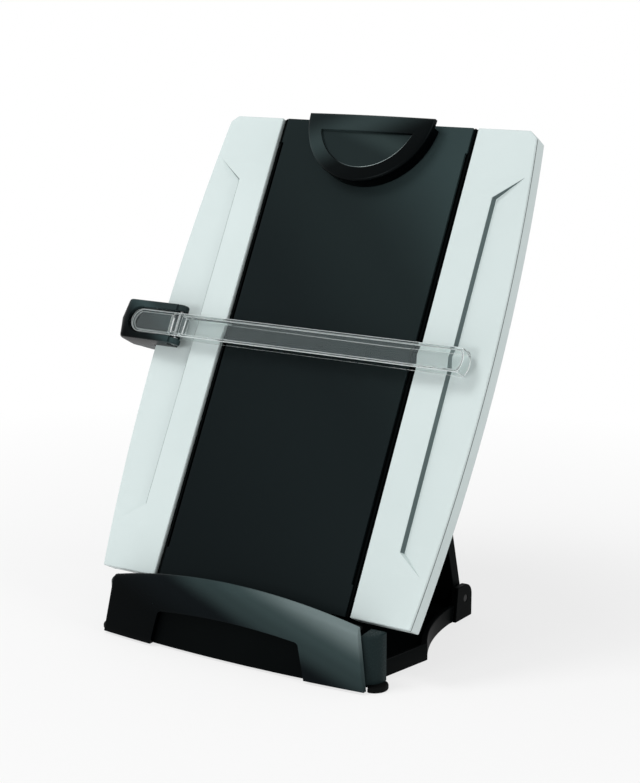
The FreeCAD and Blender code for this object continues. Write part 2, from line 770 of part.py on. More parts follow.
def make_board_shell():
    """The back of the board: a plate with long ribs that carry the panel, and hinge knuckles."""
    body = new_body("board_shell")
    height, wall, gap = size("board_height"), size("wing_wall"), size("fit_gap")
    thick = size("shell_thick")
    cut = size("corner_cut")
    back = size("board_depth") - thick
    end = wing_end() - wall - gap
    bow = wing_edge_radius()
    low, high = wall + gap, height - wall - gap
    corner_x = wing_end() - cut - wall - gap
    slab(body, back, thick, [[
        (-end, low), (end, low, bow), (end, high - cut), (corner_x, high), (-corner_x, high),
        (-end, high - cut, bow)]])
    rooted, floor_front = size("root_depth"), size("channel_sink")
    ribs = []
    for step in (-1, 0, 1):
        middle, rib_half = size("shell_rib_out") * step, size("shell_rib") / 2
        ribs.append(box_outline(middle - rib_half, middle + rib_half, low, high))
    slab(body, floor_front, back - floor_front + rooted, ribs)
    channel_in = panel_half() - size("panel_notch") - size("channel_under")
    channel_out = size("wing_inner") - gap
    bead_in = panel_half() + size("bead_gap")
    bead_out = bead_in + size("bead_wide")
    bead_front = size("bead_sink")
    slab(body, floor_front, back - floor_front + rooted, [
        box_outline(channel_in, channel_out, 0, height),
        box_outline(-channel_out, -channel_in, 0, height)])
    slab(body, bead_front, floor_front - bead_front + rooted, [
        box_outline(bead_in, bead_out, 0, height),
        box_outline(-bead_out, -bead_in, 0, height)])
    for strip_low, strip_high in ((0, wall), (height - wall, height)):
        slab(body, floor_front, size("board_depth") - floor_front, [
            box_outline(-channel_out, channel_out, strip_low, strip_high)])
    radius = size("knuckle_radius")
    near = size("knuckle_out") - size("knuckle_width") / 2
    depth_at, drop = size("pivot_depth"), -size("pivot_drop")
    knuckle = rib(body, near, size("knuckle_width"), [[
        (floor_front, 0), (depth_at - radius, 0), (depth_at - radius, drop, radius),
        (depth_at + radius, drop), (depth_at + radius, wall / 2), (floor_front, wall / 2)]])
    hole = bore_across(body, near, size("knuckle_width"), depth_at, drop,
                       size("tilt_pin_radius") + size("run_gap"))
    mirror(body, [knuckle, hole])
    heads = []
    for side in (-1, 1):
        for up in screw_heights():
            heads.append((board_screw_out() * side, up, size("screw_radius") + gap))
    hollow(body, size("board_depth"), thick + size("cut_over"), [], heads)
    return on_board(body)


def leg_reach():
    """The cross bar's distance from the leg's hinge, square to the board, at rest."""
    lean = size("lean")
    across = size("leg_back") * cosine(lean)
    up = (size("leg_rise") - size("edge_height")) * sine(lean)
    return across - up - size("board_depth") - size("cross_standoff")


def cross_height():
    """The cross bar's height along the board at rest."""
    lean = size("lean")
    foot = size("leg_back") * sine(lean) + (size("leg_rise") - size("edge_height")) * cosine(lean)
    return foot + root(size("leg_length") * size("leg_length") - leg_reach() * leg_reach())


def make_rack_rail(label, side):
    """A slotted rail on the board's back. The leg's cross bar runs in its notched slot."""
    body = new_body(label)
    back, rise, thick = size("board_depth"), size("rail_height"), size("rail_thick")
    low, high = cross_height() - size("slot_below"), cross_height() + size("slot_above")
    wall = size("rail_wall")
    near = size("rail_offset") * side - thick / 2
    lead = size("rail_lead")
    rib(body, near, thick, [[
        (back, low - wall - lead), (back + rise, low - wall), (back + rise, high + wall),
        (back, high + wall + lead)]])
    half = size("cross_radius") + size("slot_play")
    middle = back + size("cross_standoff") - size("slot_shift")
    sketch = sketch_on(body, "YZ_Plane", near + thick, [[
        (middle - half, low), (middle - half, high, -half), (middle + half, high),
        (middle + half, low, -half)]])
    pocket(body, sketch, thick)
    first = sketch_on(body, "YZ_Plane", near + thick, (), [
        (middle + size("notch_bite"), low + size("notch_first"), half)])
    notch = pocket(body, first, thick)
    row = body.newObject("PartDesign::LinearPattern", f"{label}_notches")
    row.Originals = [notch]
    row.Direction = (first, ["V_Axis"])
    row.setExpression("Length", (size("notch_pitch") * (size("notch_count") - 1)).formula)
    row.setExpression("Occurrences", size("notch_count").formula)
    body.Tip = row
    doc.recompute()
    return on_board(body)


# Prop leg

def leg_half():
    """Half width of the leg, which swings between the walls of the base's waist."""
    return size("tray_waist_half") - size("tray_wall") - size("side_gap")


def make_easel_leg():
    """A ribbed plate with side flanges, a hinge barrel below and lugs for the cross bar above."""
    body = new_body("easel_leg")
    half, web, flange = leg_half(), size("leg_web"), size("leg_flange")
    top = size("leg_length") - size("leg_top_drop")
    gap = size("rail_thick") / 2 + size("rail_room")
    rail = size("rail_offset")
    front = -flange / 2
    notch = size("leg_length") - size("rail_notch")
    slab(body, front, web, [[
        (-half, 0), (half, 0), (half, top), (rail + gap, top), (rail + gap, notch),
        (rail - gap, notch), (rail - gap, top), (-(rail - gap), top), (-(rail - gap), notch),
        (-(rail + gap), notch), (-(rail + gap), top), (-half, top)]])
    rib_out, stay = size("leg_rib_out"), size("leg_length") - size("leg_stay_drop")
    long_ribs = [box_outline(half - web, half, 0, top), box_outline(-half, web - half, 0, top)]
    for side in (-1, 1):
        middle = rib_out * side
        long_ribs.append(box_outline(middle - web / 2, middle + web / 2, 0, top))
    slab(body, front, flange, long_ribs)
    slab(body, front, flange, [box_outline(-rib_out, rib_out, stay, stay + web)])
    lug = size("cross_radius") + size("leg_ear_wall")
    wide = size("leg_ear_wide")
    ears = []
    for near in (half - wide, rail - gap - wide):
        ear = rib(body, near, wide, [[
            (-lug, top - wide), (lug, top - wide), (lug, size("leg_length"), lug),
            (-lug, size("leg_length"))]])
        ears.append(ear)
    mirror(body, ears)
    sketch = sketch_on(body, "YZ_Plane", half, (), [
        (0, size("leg_length"), size("cross_radius") + size("seat_gap"))])
    pocket(body, sketch, half * 2)
    foot = size("leg_foot")
    barrel = sketch_on(body, "YZ_Plane", 0, (), [(0, 0, foot)])
    pad(body, barrel, half * 2, both=True)
    rod = sketch_on(body, "YZ_Plane", 0, (), [(0, 0, size("leg_rod_radius") + size("run_gap"))])
    pocket(body, rod, half * 2 + size("cut_over"), both=True)
    return on_leg(body)


def make_rod(label, half, radius, at):
    """A plain round steel rod along X."""
    rod = doc.addObject("Part::Cylinder", label)
    rod.Label = label
    rod.setExpression("Radius", radius.formula)
    rod.setExpression("Height", (half * 2).formula)
    y, z = as_size(at[0]), as_size(at[1])
    rod.setExpression(
        "Placement",
        f"placement(vector({(-half).formula}; {y.formula}; {z.formula}); "
        f"rotation(vector(0; 1; 0); 90))",
    )
    return rod


def carried(label, inner, carrier):
    """Puts a piece drawn in the board's or leg's frame where that frame stands."""
    outer = doc.addObject("Part::Compound", label)
    outer.Label = label
    outer.Links = inner
    return carrier(outer)


def make_leg_bar():
    half = leg_half() - size("side_gap")
    rod = make_rod("leg_bar_rod", half, size("cross_radius"), (0, size("leg_length")))
    return carried("leg_bar", [rod], on_leg)


def make_leg_rod():
    half = tray_end_half() - size("side_gap")
    rod = make_rod("leg_rod", half, size("leg_rod_radius"), (size("leg_back"), size("leg_rise")))
    return on_base(rod)


# Page clip

def clip_curve():
    return arc_radius(size("clip_half"), size("clip_high"))


def make_clip_jaw():
    """The clip: a half-round hollow cap with a finger dish, hinged near its straight top edge."""
    body = new_body("clip_jaw")
    half, top, bottom = size("clip_half"), clip_top(), clip_bottom()
    front, wall = size("clip_front"), size("clip_wall")
    rear = size("panel_sink") - size("side_gap")
    curve = clip_curve()
    slab(body, -front, front + rear, [[(half, top), (-half, top, curve), (0, bottom, curve)]])
    bevel_edges(body, size("clip_bevel"), lambda edge: lies_at(edge, "y", -front))
    over = size("cut_over")
    deep = size("dish_depth") + wall
    narrow = half - wall
    inner_curve = arc_radius(narrow, top - wall - bottom - wall)
    hollow(body, rear, front + rear - deep, [[
        (narrow, top - wall), (-narrow, top - wall, inner_curve), (0, bottom + wall, inner_curve)]])
    dish_top = top - size("dish_drop")
    ledge = dish_top + over
    hollow(body, deep - front, size("dish_depth"), [
        box_outline(2 * wall - narrow, narrow - 2 * wall, ledge, top - wall)])
    axis, ahead = clip_axis(), size("clip_axis_front")
    swing = size("clip_pin_radius")
    hollow(body, rear, ahead + rear + swing, [
        box_outline(-half - over, half + over, axis + swing, top + over)])
    dish_half, dish_high = size("dish_half"), size("dish_high")
    dish_curve = arc_radius(dish_half, dish_high)
    sink(body, -front, size("dish_depth"), [[
        (dish_half, dish_top), (-dish_half, dish_top, dish_curve),
        (0, dish_top - dish_high, dish_curve)]])
    radius = size("clip_ear_radius")
    near = size("clip_ear_out") + size("clip_ear_thick") / 2 + size("side_gap")
    root_y = size("dish_depth") - front - size("root_depth")
    lug = rib(body, near, size("clip_lug_thick"), [[
        (root_y, axis - radius), (-ahead, axis - radius, radius), (-ahead, axis + radius),
        (root_y, axis + radius)]])
    hole = bore_across(body, near, size("clip_lug_thick"), -ahead, axis,
                       size("clip_pin_radius") + size("seat_gap"))
    mirror(body, [lug, hole])
    return on_board(body)


def make_clip_mount():
    """Two ears on a foot plate that carry the clip's pin."""
    body = new_body("clip_mount")
    axis, ahead = clip_axis(), size("clip_axis_front")
    radius = size("clip_ear_radius")
    seat = size("panel_sink")
    out = size("clip_ear_out") + size("clip_ear_thick") / 2
    foot = size("clip_foot")
    slab(body, seat - foot, foot, [
        box_outline(-out, out, axis - radius - size("clip_foot_margin"), axis + radius)])
    near = size("clip_ear_out") - size("clip_ear_thick") / 2
    ear = rib(body, near, size("clip_ear_thick"), [[
        (-ahead, axis + radius, radius), (-ahead, axis - radius), (seat - foot / 2, axis - radius),
        (seat - foot / 2, axis + radius)]])
    hole = bore_across(body, near, size("clip_ear_thick"), -ahead, axis,
                       size("clip_pin_radius") + size("run_gap"))
    mirror(body, [ear, hole])
    return on_board(body)


def make_clip_pin():
    half = size("clip_ear_out") + size("clip_ear_thick") / 2 + size("side_gap")
    half = half + size("clip_lug_thick")
    at = (-size("clip_axis_front"), clip_axis())
    rod = make_rod("clip_pin_rod", half, size("clip_pin_radius"), at)
    return carried("clip_pin", [rod], on_board)


def make_clip_pad():
    """The rubber pad inside the clip's lower rim."""
    body = new_body("clip_pad")
    front = -size("clip_front") + size("dish_depth") + size("clip_wall")
    rear = size("panel_sink") - size("side_gap")
    low = clip_bottom() + size("clip_wall") + size("clip_pad_rise")
    high = low + size("clip_pad_up")
    narrow, wide = size("clip_pad_low"), size("clip_pad_high")
    slab(body, front, rear - front, [[(-wide, high), (-narrow, low), (narrow, low), (wide, high)]])
    return on_board(body)


def arc_leaving(start, heading, end):
    """The arc that leaves a point in a heading and ends at another point."""
    chord = end - start
    bulge = heading - chord * (heading.dot(chord) / chord.dot(chord))
    rise = chord.Length / 2 * math.tan(heading.getAngle(chord) / 2)
    return Part.Arc(start, (start + end) * 0.5 + bulge.normalize() * rise, end).toShape()


def biarc(start, heading, end, final):
    """Two arcs, smooth where they meet, from a point and heading to another point and heading."""
    chord = end - start
    both = heading + final
    spread = 2 * (1 - heading.dot(final))
    along = chord.dot(both)
    reach = (math.sqrt(along * along + spread * chord.dot(chord)) - along) / spread
    joint = (start + end + (heading - final) * reach) * 0.5
    first = arc_leaving(start, heading, joint)
    back = arc_leaving(end, -final, joint)
    return [first, back]


def on_helix(radius, pitch, turn):
    """A helix's point and heading after a number of turns."""
    angle = 2 * math.pi * turn
    climb = pitch / (2 * math.pi)
    point = FreeCAD.Vector(radius * math.cos(angle), radius * math.sin(angle), pitch * turn)
    heading = FreeCAD.Vector(-radius * math.sin(angle), radius * math.cos(angle), climb)
    return point, heading.normalize()


def wire_section(centre, heading, width, sides):
    """A spring wire's section: a ring of equal sides, square to its heading."""
    across = heading.cross(FreeCAD.Vector(0, 0, 1)).normalize()
    up = across.cross(heading)
    corners = []
    for step in range(sides):
        angle = 2 * math.pi * (step + 0.5) / sides
        corners.append(centre + (across * math.cos(angle) + up * math.sin(angle)) * (width / 2))
    return Part.makePolygon(corners + corners[:1])


def least_turn_gap(points, wire, turns):
    """Least gap between the wire and itself, past half a turn along it."""
    step = round(len(points) / turns / 2)
    gaps = []
    for index, point in enumerate(points):
        for other in points[index + step:]:
            gaps.append((other - point).Length - wire)
    return min(gaps)


def coil(name, mean_radius, wire, turns, length):
    """A coil spring along Z from z = 0, as one unbroken wire."""
    pitch = length / turns
    quarters = round(turns * 4)
    edges = []
    for quarter in range(quarters):
        start, heading = on_helix(mean_radius, pitch, quarter / 4)
        end, final = on_helix(mean_radius, pitch, (quarter + 1) / 4)
        edges = edges + biarc(start, heading, end, final)
    path = Part.Wire(edges)
    start, heading = on_helix(mean_radius, pitch, 0)
    sides = round(size("wire_sides").number)
    tube = path.makePipeShell([wire_section(start, heading, wire, sides)], True)
    gap = least_turn_gap(path.discretize(quarters * 8), wire, turns)
    print(f"{name}: least gap of the wire to itself {gap:.2f} mm, volume {tube.Volume:.2f} mm3")
    return tube


def spring_piece(label, tube, middle):
    """Stands a coil at a place given in the board's frame."""
    inner = doc.addObject("Part::Feature", f"{label}_coil")
    inner.Shape = tube
    inner.Placement = FreeCAD.Placement(middle, tube.Placement.Rotation)
    return carried(label, [inner], on_board)


def make_clip_spring():
    """The torsion spring on the clip's pin, between the mount's ears."""
    wire = size("spring_wire").number
    turns = size("spring_turns").number
    mean = size("clip_pin_radius").number + wire
    length = turns * 2 * wire
    tube = coil("clip_spring", mean, wire, turns, length)
    tube.rotate(FreeCAD.Vector(0, 0, 0), FreeCAD.Vector(0, 1, 0), 90)
    ahead, axis = size("clip_axis_front").number, clip_axis().number
    return spring_piece("clip_spring", tube, FreeCAD.Vector(-length / 2, -ahead, axis))


# Line guide

def tab_end():
    """The thumb tab's outer end from the centre."""
    return guide_left() - size("tab_in")


def guide_inner():
    """The slider's inside wall beyond the board's bowed edge."""
    return size("wing_mid") + size("guide_edge_gap")


def trim_slider_end(body):
    """Cuts the slider's outer end to its shallow bulge, as seen from the front."""
    low, high = size("guide_low"), guide_high()
    curve = arc_radius((high - low) / 2, size("guide_bulge"))
    left, over = -guide_left(), size("cut_over")
    far = left - size("guide_bulge") - over
    front, back = -size("guide_front") - over, size("guide_back") + over
    sink(body, front, back - front, [[
        (far, low - over), (left, low - over), (left, low, -curve), (left, high),
        (left, high + over), (far, high + over)]])


def on_slider_face(edge, seam):
    """Whether an edge runs round the slider's upper or lower end, and isn't on the halves' seam."""
    if lies_at(edge, "y", seam) or lies_at(edge, "y", -size("guide_gap")):
        return False
    if lies_at(edge, "x", -guide_inner()) or lies_at(edge, "x", -guide_right()):
        return False
    return lies_at(edge, "z", size("guide_low")) or lies_at(edge, "z", guide_high())


def make_slider_front():
    """The slider's front: thumb recess open to the right, and two ears for the bar's hinge."""
    body = new_body("slider_front")
    low, high = size("guide_low"), guide_high()
    front, left = size("guide_front"), guide_left() + size("guide_bulge")
    right = guide_right()
    split, gap = size("guide_split"), size("guide_gap")
    inside, bend, over = guide_inner(), size("guide_round"), size("cut_over")
    layer(body, low, high - low, [[
        (-right, -gap), (-inside, -gap), (-inside, split), (-left, split),
        (-left, bend - front, bend), (bend - left, -front), (-right, -front)]])
    trim_slider_end(body)
    bevel_edges(body, size("guide_bevel"), lambda edge: on_slider_face(edge, split))
    room = size("thumb_wall")
    lower, upper = bar_low() - room, bar_high() + room
    half = (upper - lower) / 2
    turn_x = half - tab_end() - room
    depth = front - gap - size("guide_floor")
    sink(body, -front, depth, [[
        (over - right, lower), (over - right, upper), (turn_x, upper, half), (turn_x, lower)]])
    ear = size("hinge_ear_radius")
    hinge_x, hinge_y = -hinge_out(), -size("hinge_front")
    for start, length in ((low, lower - low), (upper, high - upper)):
        layer(body, start, length, [[
            (-right - ear, hinge_y - ear), (hinge_x, hinge_y - ear, ear), (hinge_x, hinge_y + ear),
            (-right - ear, hinge_y + ear)]])
    pin_fit = size("hinge_pin_radius") + size("seat_gap")
    well(body, high, high - low, [], [(hinge_x, hinge_y, pin_fit)])
    return on_board(body)


def make_slider_back():
    """The slider's back: wraps round the board's edge and grips behind it."""
    body = new_body("slider_back")
    low, high = size("guide_low"), guide_high()
    left = guide_left() + size("guide_bulge")
    back, grip = size("guide_back"), guide_grip()
    split, gap, seam = size("guide_split"), size("guide_gap"), size("seat_gap")
    inside = guide_inner()
    behind = size("board_depth") + gap + size("shoe_thick")
    lip, crest, shoulder = size("guide_grip_round"), size("guide_crest"), size("guide_crest_in")
    back_arc = arc_radius((left - shoulder - inside) / 2 + crest, crest / 2)
    side_arc = shoulder * 2
    layer(body, low, high - low, [[
        (-inside, split + seam), (-inside, behind), (-grip, behind), (-grip, back - lip, lip),
        (-grip - lip, back), (-inside, back, back_arc), (shoulder - left, crest, side_arc),
        (-left, split + seam)]])
    trim_slider_end(body)
    return on_board(body)


def make_slider_shoe():
    """The felt shoe that drags on the board's back and keeps the slider where it is put."""
    body = new_body("slider_shoe")
    margin = size("shoe_margin")
    low, high = size("guide_low") + margin, guide_high() - margin
    front = size("board_depth") + size("side_gap")
    behind = size("board_depth") + size("guide_gap") + size("shoe_thick")
    slab(body, front, behind - front, [
        box_outline(margin - guide_inner(), -guide_grip() - margin, low, high)])
    return on_board(body)


def make_slider_pin():
    body = new_body("slider_pin")
    low, high = size("guide_low"), guide_high()
    at = (-hinge_out(), -size("hinge_front"), size("hinge_pin_radius"))
    layer(body, low, high - low, [], [at])
    return on_board(body)


def barrel_low():
    """Lower end of the bar's barrel, above the room for the coil round the hinge pin."""
    return bar_low() + size("coil_room") - size("thumb_wall")


def make_slider_spring():
    """The coil round the bar's hinge pin that presses the bar to the page."""
    wire = size("bar_spring_wire").number
    mean = size("hinge_pin_radius").number + wire
    gap = size("side_gap").number
    length = size("coil_room").number - 2 * gap - wire
    tube = coil("slider_spring", mean, wire, size("bar_spring_turns").number, length)
    low = (bar_low() - size("thumb_wall")).number + gap + wire / 2
    at = FreeCAD.Vector(-hinge_out().number, -size("hinge_front").number, low)
    return spring_piece("slider_spring", tube, at)


def make_guide_bar():
    """The clear bar: a shallow channel across the page with a thumb tab beyond its hinge."""
    body = new_body("guide_bar")
    low, high = bar_low(), bar_high()
    front, lift, wall = size("bar_front"), size("bar_lift"), size("bar_wall")
    start, end = size("bar_start") - hinge_out(), size("wing_mid") - size("bar_end_in")
    over = size("cut_over")
    curve = arc_radius((high - low) / 2, size("bar_bulge"))
    slab(body, -front, front - lift, [[(start, low), (end, low, curve), (end, high), (start, high)]])
    half = (high - low) / 2
    turn_x = half - tab_end()
    slab(body, -front, size("tab_depth"), [[
        (start + over, low), (start + over, high), (turn_x, high, half), (turn_x, low)]])
    inner_curve = arc_radius(half - wall, size("bar_bulge"))
    tab_in = -hinge_out() - size("hinge_barrel") - over
    hollow(body, -lift, front - lift - wall, [[
        (start + wall, low + wall), (end - wall, low + wall, inner_curve),
        (end - wall, high - wall), (start + wall, high - wall)]])
    hollow(body, size("tab_depth") - front, size("tab_depth") - wall, [[
        (tab_in, low + wall), (tab_in, high - wall), (turn_x, high - wall, half - wall),
        (turn_x, low + wall)]])
    step = barrel_low()
    hinge_x, hinge_y = -hinge_out(), -size("hinge_front")
    layer(body, step, high - step, [], [(hinge_x, hinge_y, size("hinge_barrel"))])
    notch_x = size("hinge_barrel")
    well(body, step, step - low + over, [[
        (hinge_x - notch_x, over), (hinge_x - notch_x, wall - front),
        (hinge_x + notch_x, wall - front), (hinge_x + notch_x, over)]])
    well(body, high + over, high - low + 2 * over, [], [
        (hinge_x, hinge_y, size("hinge_pin_radius") + size("run_gap"))])
    return on_board(body)


# Base

def tray_outline(inset):
    """The base seen from above, moved inwards by an inset. Walked anticlockwise from the front."""
    front_half = size("tray_front_half") - inset
    hip_half = front_half + size("tray_hip_out")
    waist_half, end_half = size("tray_waist_half") - inset, tray_end_half() - inset
    front, back = inset - size("tray_front"), tray_end() - inset
    hip, waist = size("tray_hip") - inset, size("leg_back") - size("tray_waist_ahead")
    hollow_radius = size("tray_waist_radius") + inset
    flare = waist + size("tray_flare")
    step_end = flare + size("tray_step")
    return [
        (-front_half, front), (front_half, front), (hip_half, hip, -hollow_radius),
        (waist_half, waist), (waist_half, flare), (end_half, step_end), (end_half, back),
        (-end_half, back), (-end_half, step_end), (-waist_half, flare),
        (-waist_half, waist, -hollow_radius), (-hip_half, hip)]


def make_base_tray():
    """The black moulded base: shallow walled tray, front wall, hinge brackets and leg ears."""
    body = new_body("base_tray")
    floor, wall, side = size("tray_floor"), size("tray_wall"), size("tray_side")
    layer(body, 0, side, [tray_outline(as_size(0))])
    well(body, side, side - floor, [tray_outline(wall)])
    front = -size("tray_front")
    shelf_low, half = shelf_under(), shelf_half()
    rooted = floor - size("root_depth")
    slab(body, front, wall, [box_outline(-half, half, rooted, shelf_low)])
    buttress = size("tray_front") - size("shelf_back")
    webs = []
    for place_at in (wall - half, -size("tray_web_out"), size("tray_web_out"), half - wall):
        webs.append(box_outline(place_at - wall / 2, place_at + wall / 2, rooted, shelf_low))
    slab(body, front, buttress, webs)
    pivot_y, pivot_z = pivot_in_base()
    radius = size("knuckle_radius")
    gap, thick = size("side_gap"), size("bracket_thick")
    inner = size("knuckle_out") - size("knuckle_width") / 2 - gap - thick
    outer = size("knuckle_out") + size("knuckle_width") / 2 + gap
    features = []
    for near in (inner, outer):
        bracket = rib(body, near, thick, [[
            (pivot_y - radius - size("bracket_front"), rooted),
            (pivot_y + radius + size("bracket_back"), rooted),
            (pivot_y + radius, pivot_z, radius), (pivot_y - radius, pivot_z)]])
        hole = bore_across(body, near, thick, pivot_y, pivot_z,
                           size("tilt_pin_radius") + size("seat_gap"))
        features = features + [bracket, hole]
    ear_near = tray_end_half() - size("ear_thick")
    ear_front, ear_back = size("leg_back") - size("ear_ahead"), tray_end()
    ear_high = size("leg_rise") + size("ear_above")
    bend = size("ear_round")
    ear = rib(body, ear_near, size("ear_thick"), [[
        (ear_front, 0), (ear_back, 0), (ear_back, ear_high - bend, bend),
        (ear_back - bend, ear_high), (ear_front + size("ear_slope"), ear_high)]])
    rod = bore_across(body, ear_near, size("ear_thick"), size("leg_back"), size("leg_rise"),
                      size("leg_rod_radius") + size("seat_gap"))
    nose_ribs = [make_nose_rib(body, size("nose_rib_in"), size("recess_thick") + size("side_gap")),
                 make_nose_rib(body, half - size("nose_rib_end"), as_size(0))]
    mirror(body, features + [ear, rod] + nose_ribs)
    post_x, post_y, block = post_out(), -size("post_front"), size("post_block")
    inner_x = size("tray_front_half") - size("post_block_in")
    near_y, far_y = post_y - block / 2, post_y + block / 2
    low, high = size("post_block_low"), post_high() - size("post_block_drop")
    layer(body, low, high - low, [
        [(inner_x, near_y), (post_x, near_y), (post_x, far_y), (inner_x, far_y)],
        [(-post_x, near_y), (-inner_x, near_y), (-inner_x, far_y), (-post_x, far_y)]])
    gap = size("fit_gap")
    drills = [(x, y, size("screw_radius") + gap) for x, y in base_screw_places()]
    heads = [(x, y, size("screw_head") + gap) for x, y in base_screw_places()]
    well(body, floor, floor, [], drills)
    under = sketch_on(body, "XY_Plane", 0, (), heads)
    pocket(body, under, size("screw_head_high") + size("screw_seat"), reverse=True)
    seam = size("seat_gap")
    wells = [box_outline(x - seam, x + size("pad_long") + seam, y - seam, y + size("pad_deep") + seam)
             for x, y in pad_places()]
    under = sketch_on(body, "XY_Plane", 0, wells)
    pocket(body, under, size("pad_sink"), reverse=True)
    return on_base(body)


def make_nose_rib(body, out, behind):
    """A rib forward from the front wall that the fascia, or the wall behind its window, rests on."""
    floor, wall = size("tray_floor"), size("tray_wall")
    high = shelf_under() - size("nose_rib_drop")
    far = out + wall / 2
    drop = far * far / (2 * fascia_bow_radius())
    gap = size("side_gap")
    foot = fascia_inside_at(floor) + behind + drop + gap
    head = fascia_inside_at(high) + behind + drop + gap
    back = size("root_depth") - size("tray_front")
    return rib(body, out - wall / 2, wall, [[(foot, floor), (back, floor), (back, high), (head, high)]])


def base_screw_places():
    out, y = shelf_half() - size("base_screw_in"), -size("base_screw_front")
    return [(-out, y), (out, y)]


def pad_places():
    """Left front corners of the two pads."""
    margin = size("pad_margin")
    outer = size("tray_waist_half") - margin
    y = tray_end() - margin - size("pad_deep")
    return [(outer - size("pad_long"), y), (-outer, y)]


def make_rear_feet():
    feet = []
    for x, y in pad_places():
        foot = doc.addObject("Part::Box", "rear_foot")
        foot.setExpression("Length", size("pad_long").formula)
        foot.setExpression("Width", size("pad_deep").formula)
        foot.setExpression("Height", size("pad_sink").formula)
        foot.setExpression("Placement.Base.x", x.formula)
        foot.setExpression("Placement.Base.y", y.formula)
        feet.append(foot)
    return carried("rear_feet", feet, on_base)


def fascia_bow_radius():
    return arc_radius(fascia_low_half(), size("fascia_bow"))


def fascia_inside_at(height):
    """Middle of the fascia's inner face at a height."""
    return height * tangent(size("fascia_rake")) + size("fascia_thick") - size("fascia_front")


def bowed_band(name, setback, thick):
    """A tall band that follows the fascia's bow in plan and leans back with it."""
    front = setback - size("fascia_front")
    radius = fascia_bow_radius()
    sketch = doc.addObject("Sketcher::SketchObject", f"{name}_plan")
    ends = fascia_low_half() + size("cut_over")
    drop = radius - root(radius * radius - ends * ends)
    draw_outline(sketch, [
        (-ends, front + drop, radius), (ends, front + drop), (ends, front + drop + thick, -radius),
        (-ends, front + drop + thick)])
    band = doc.addObject("Part::Extrusion", f"{name}_band")
    band.Base = sketch
    band.DirMode = "Custom"
    rake = size("fascia_rake")
    band.Dir = FreeCAD.Vector(0, sine(rake).number, cosine(rake).number)
    band.setExpression("Dir", f"vector(0; sin({rake.formula}); cos({rake.formula}))")
    band.setExpression("LengthFwd", (fascia_crown() / cosine(rake) + size("cut_over")).formula)
    band.Solid = True
    return band


def front_view(name, outlines):
    """A block with the given outlines seen from the front, deep enough to cut the band."""
    sketch = doc.addObject("Sketcher::SketchObject", f"{name}_view")
    sketch.Placement = FreeCAD.Placement(
        FreeCAD.Vector(0, 0, 0), FreeCAD.Rotation(FreeCAD.Vector(1, 0, 0), 90))
    for outline in outlines:
        draw_outline(sketch, outline)
    block = doc.addObject("Part::Extrusion", f"{name}_block")
    block.Base = sketch
    block.DirMode = "Custom"
    block.Dir = FreeCAD.Vector(0, 1, 0)
    depth = size("fascia_front") + fascia_crown()
    block.setExpression("LengthFwd", (2 * depth).formula)
    block.setExpression("Placement.Base.y", (-depth).formula)
    block.Solid = True
    return block


def common_of(label, first, second):
    piece = doc.addObject("Part::Common", label)
    piece.Label = label
    piece.Base = first
    piece.Tool = second
    doc.recompute()
    return piece


def bevelled(label, base, width, chosen):
    """Bevels the edges of a finished block that the test picks."""
    names = []
    for number, edge in enumerate(base.Shape.Edges, start=1):
        if chosen(edge):
            names.append((number, width.number, width.number))
    if not names:
        raise RuntimeError(f"no edge to bevel on {label}")
    piece = doc.addObject("Part::Chamfer", label)
    piece.Label = label
    piece.Base = base
    piece.Edges = names
    doc.recompute()
    return piece


def on_fascia_arch(edge):
    """Whether an edge is the front one of the fascia's arched top."""
    side, front = fascia_side().number, size("fascia_front").number
    arch = all(point.z > side - 1e-3 for point in edge.discretize(5))
    middle = edge.discretize(3)[1]
    outside = fascia_inside_at(as_size(middle.z)).number - size("fascia_thick").number / 2
    return arch and edge.Length > front and middle.y < outside


def make_front_fascia():
    """The glossy front: bowed in plan, arched on top, with a wide window down to the table."""
    band = bowed_band("fascia", as_size(0), size("fascia_thick"))
    low, side = size("fascia_low"), fascia_side()
    low_half = fascia_low_half()
    top_half = low_half - size("fascia_draw")
    arch = arc_radius(top_half, size("fascia_rise"))
    win_low = size("window_low_half")
    win_top = win_low - size("window_draw")
    win_side, bend = size("window_side"), size("window_round")
    win_in = win_top - bend
    window_arch = arc_radius(win_in, size("window_rise"))
    view = front_view("fascia", [[
        (-low_half, low), (-win_low, low), (-win_top, win_side - bend, -bend),
        (-win_in, win_side, -window_arch), (win_in, win_side, -bend), (win_top, win_side - bend),
        (win_low, low), (low_half, low), (top_half, side, arch), (-top_half, side)]])
    plain = common_of("fascia_plain", band, view)
    return on_base(bevelled("front_fascia", plain, size("fascia_bevel"), on_fascia_arch))


def make_recess_panel():
    """The dark wall close behind the fascia's window."""
    setback = size("fascia_thick") + size("side_gap")
    band = bowed_band("recess", setback, size("recess_thick"))
    half = size("window_low_half") + size("recess_margin")
    high = shelf_under() - size("recess_drop")
    view = front_view("recess", [box_outline(-half, half, size("fascia_low"), high)])
    return on_base(common_of("recess_panel", band, view))


def make_paper_shelf():
    """The shelf the page stands on, between the fascia and the board's foot."""
    body = new_body("paper_shelf")
    top, thick, half = shelf_top(), size("shelf_thick"), shelf_half()
    inside = fascia_bow_radius() - size("fascia_thick") - size("side_gap")
    middle = fascia_inside_at(top) + size("side_gap")
    corner_y = middle + inside - root(inside * inside - half * half)
    back = -size("shelf_back")
    layer(body, top - thick, thick, [[
        (-half, corner_y, inside), (half, corner_y), (half, back), (-half, back)]])
    foot = size("tray_floor") + size("seat_gap")
    bosses = [(x, y, size("boss_radius")) for x, y in base_screw_places()]
    layer(body, foot, top - thick - foot + size("root_depth"), [], bosses)
    bores = [(x, y, size("screw_radius") + size("seat_gap")) for x, y in base_screw_places()]
    under = sketch_on(body, "XY_Plane", foot, (), bores)
    pocket(body, under, size("base_screw_long"), reverse=True)
    return on_base(body)


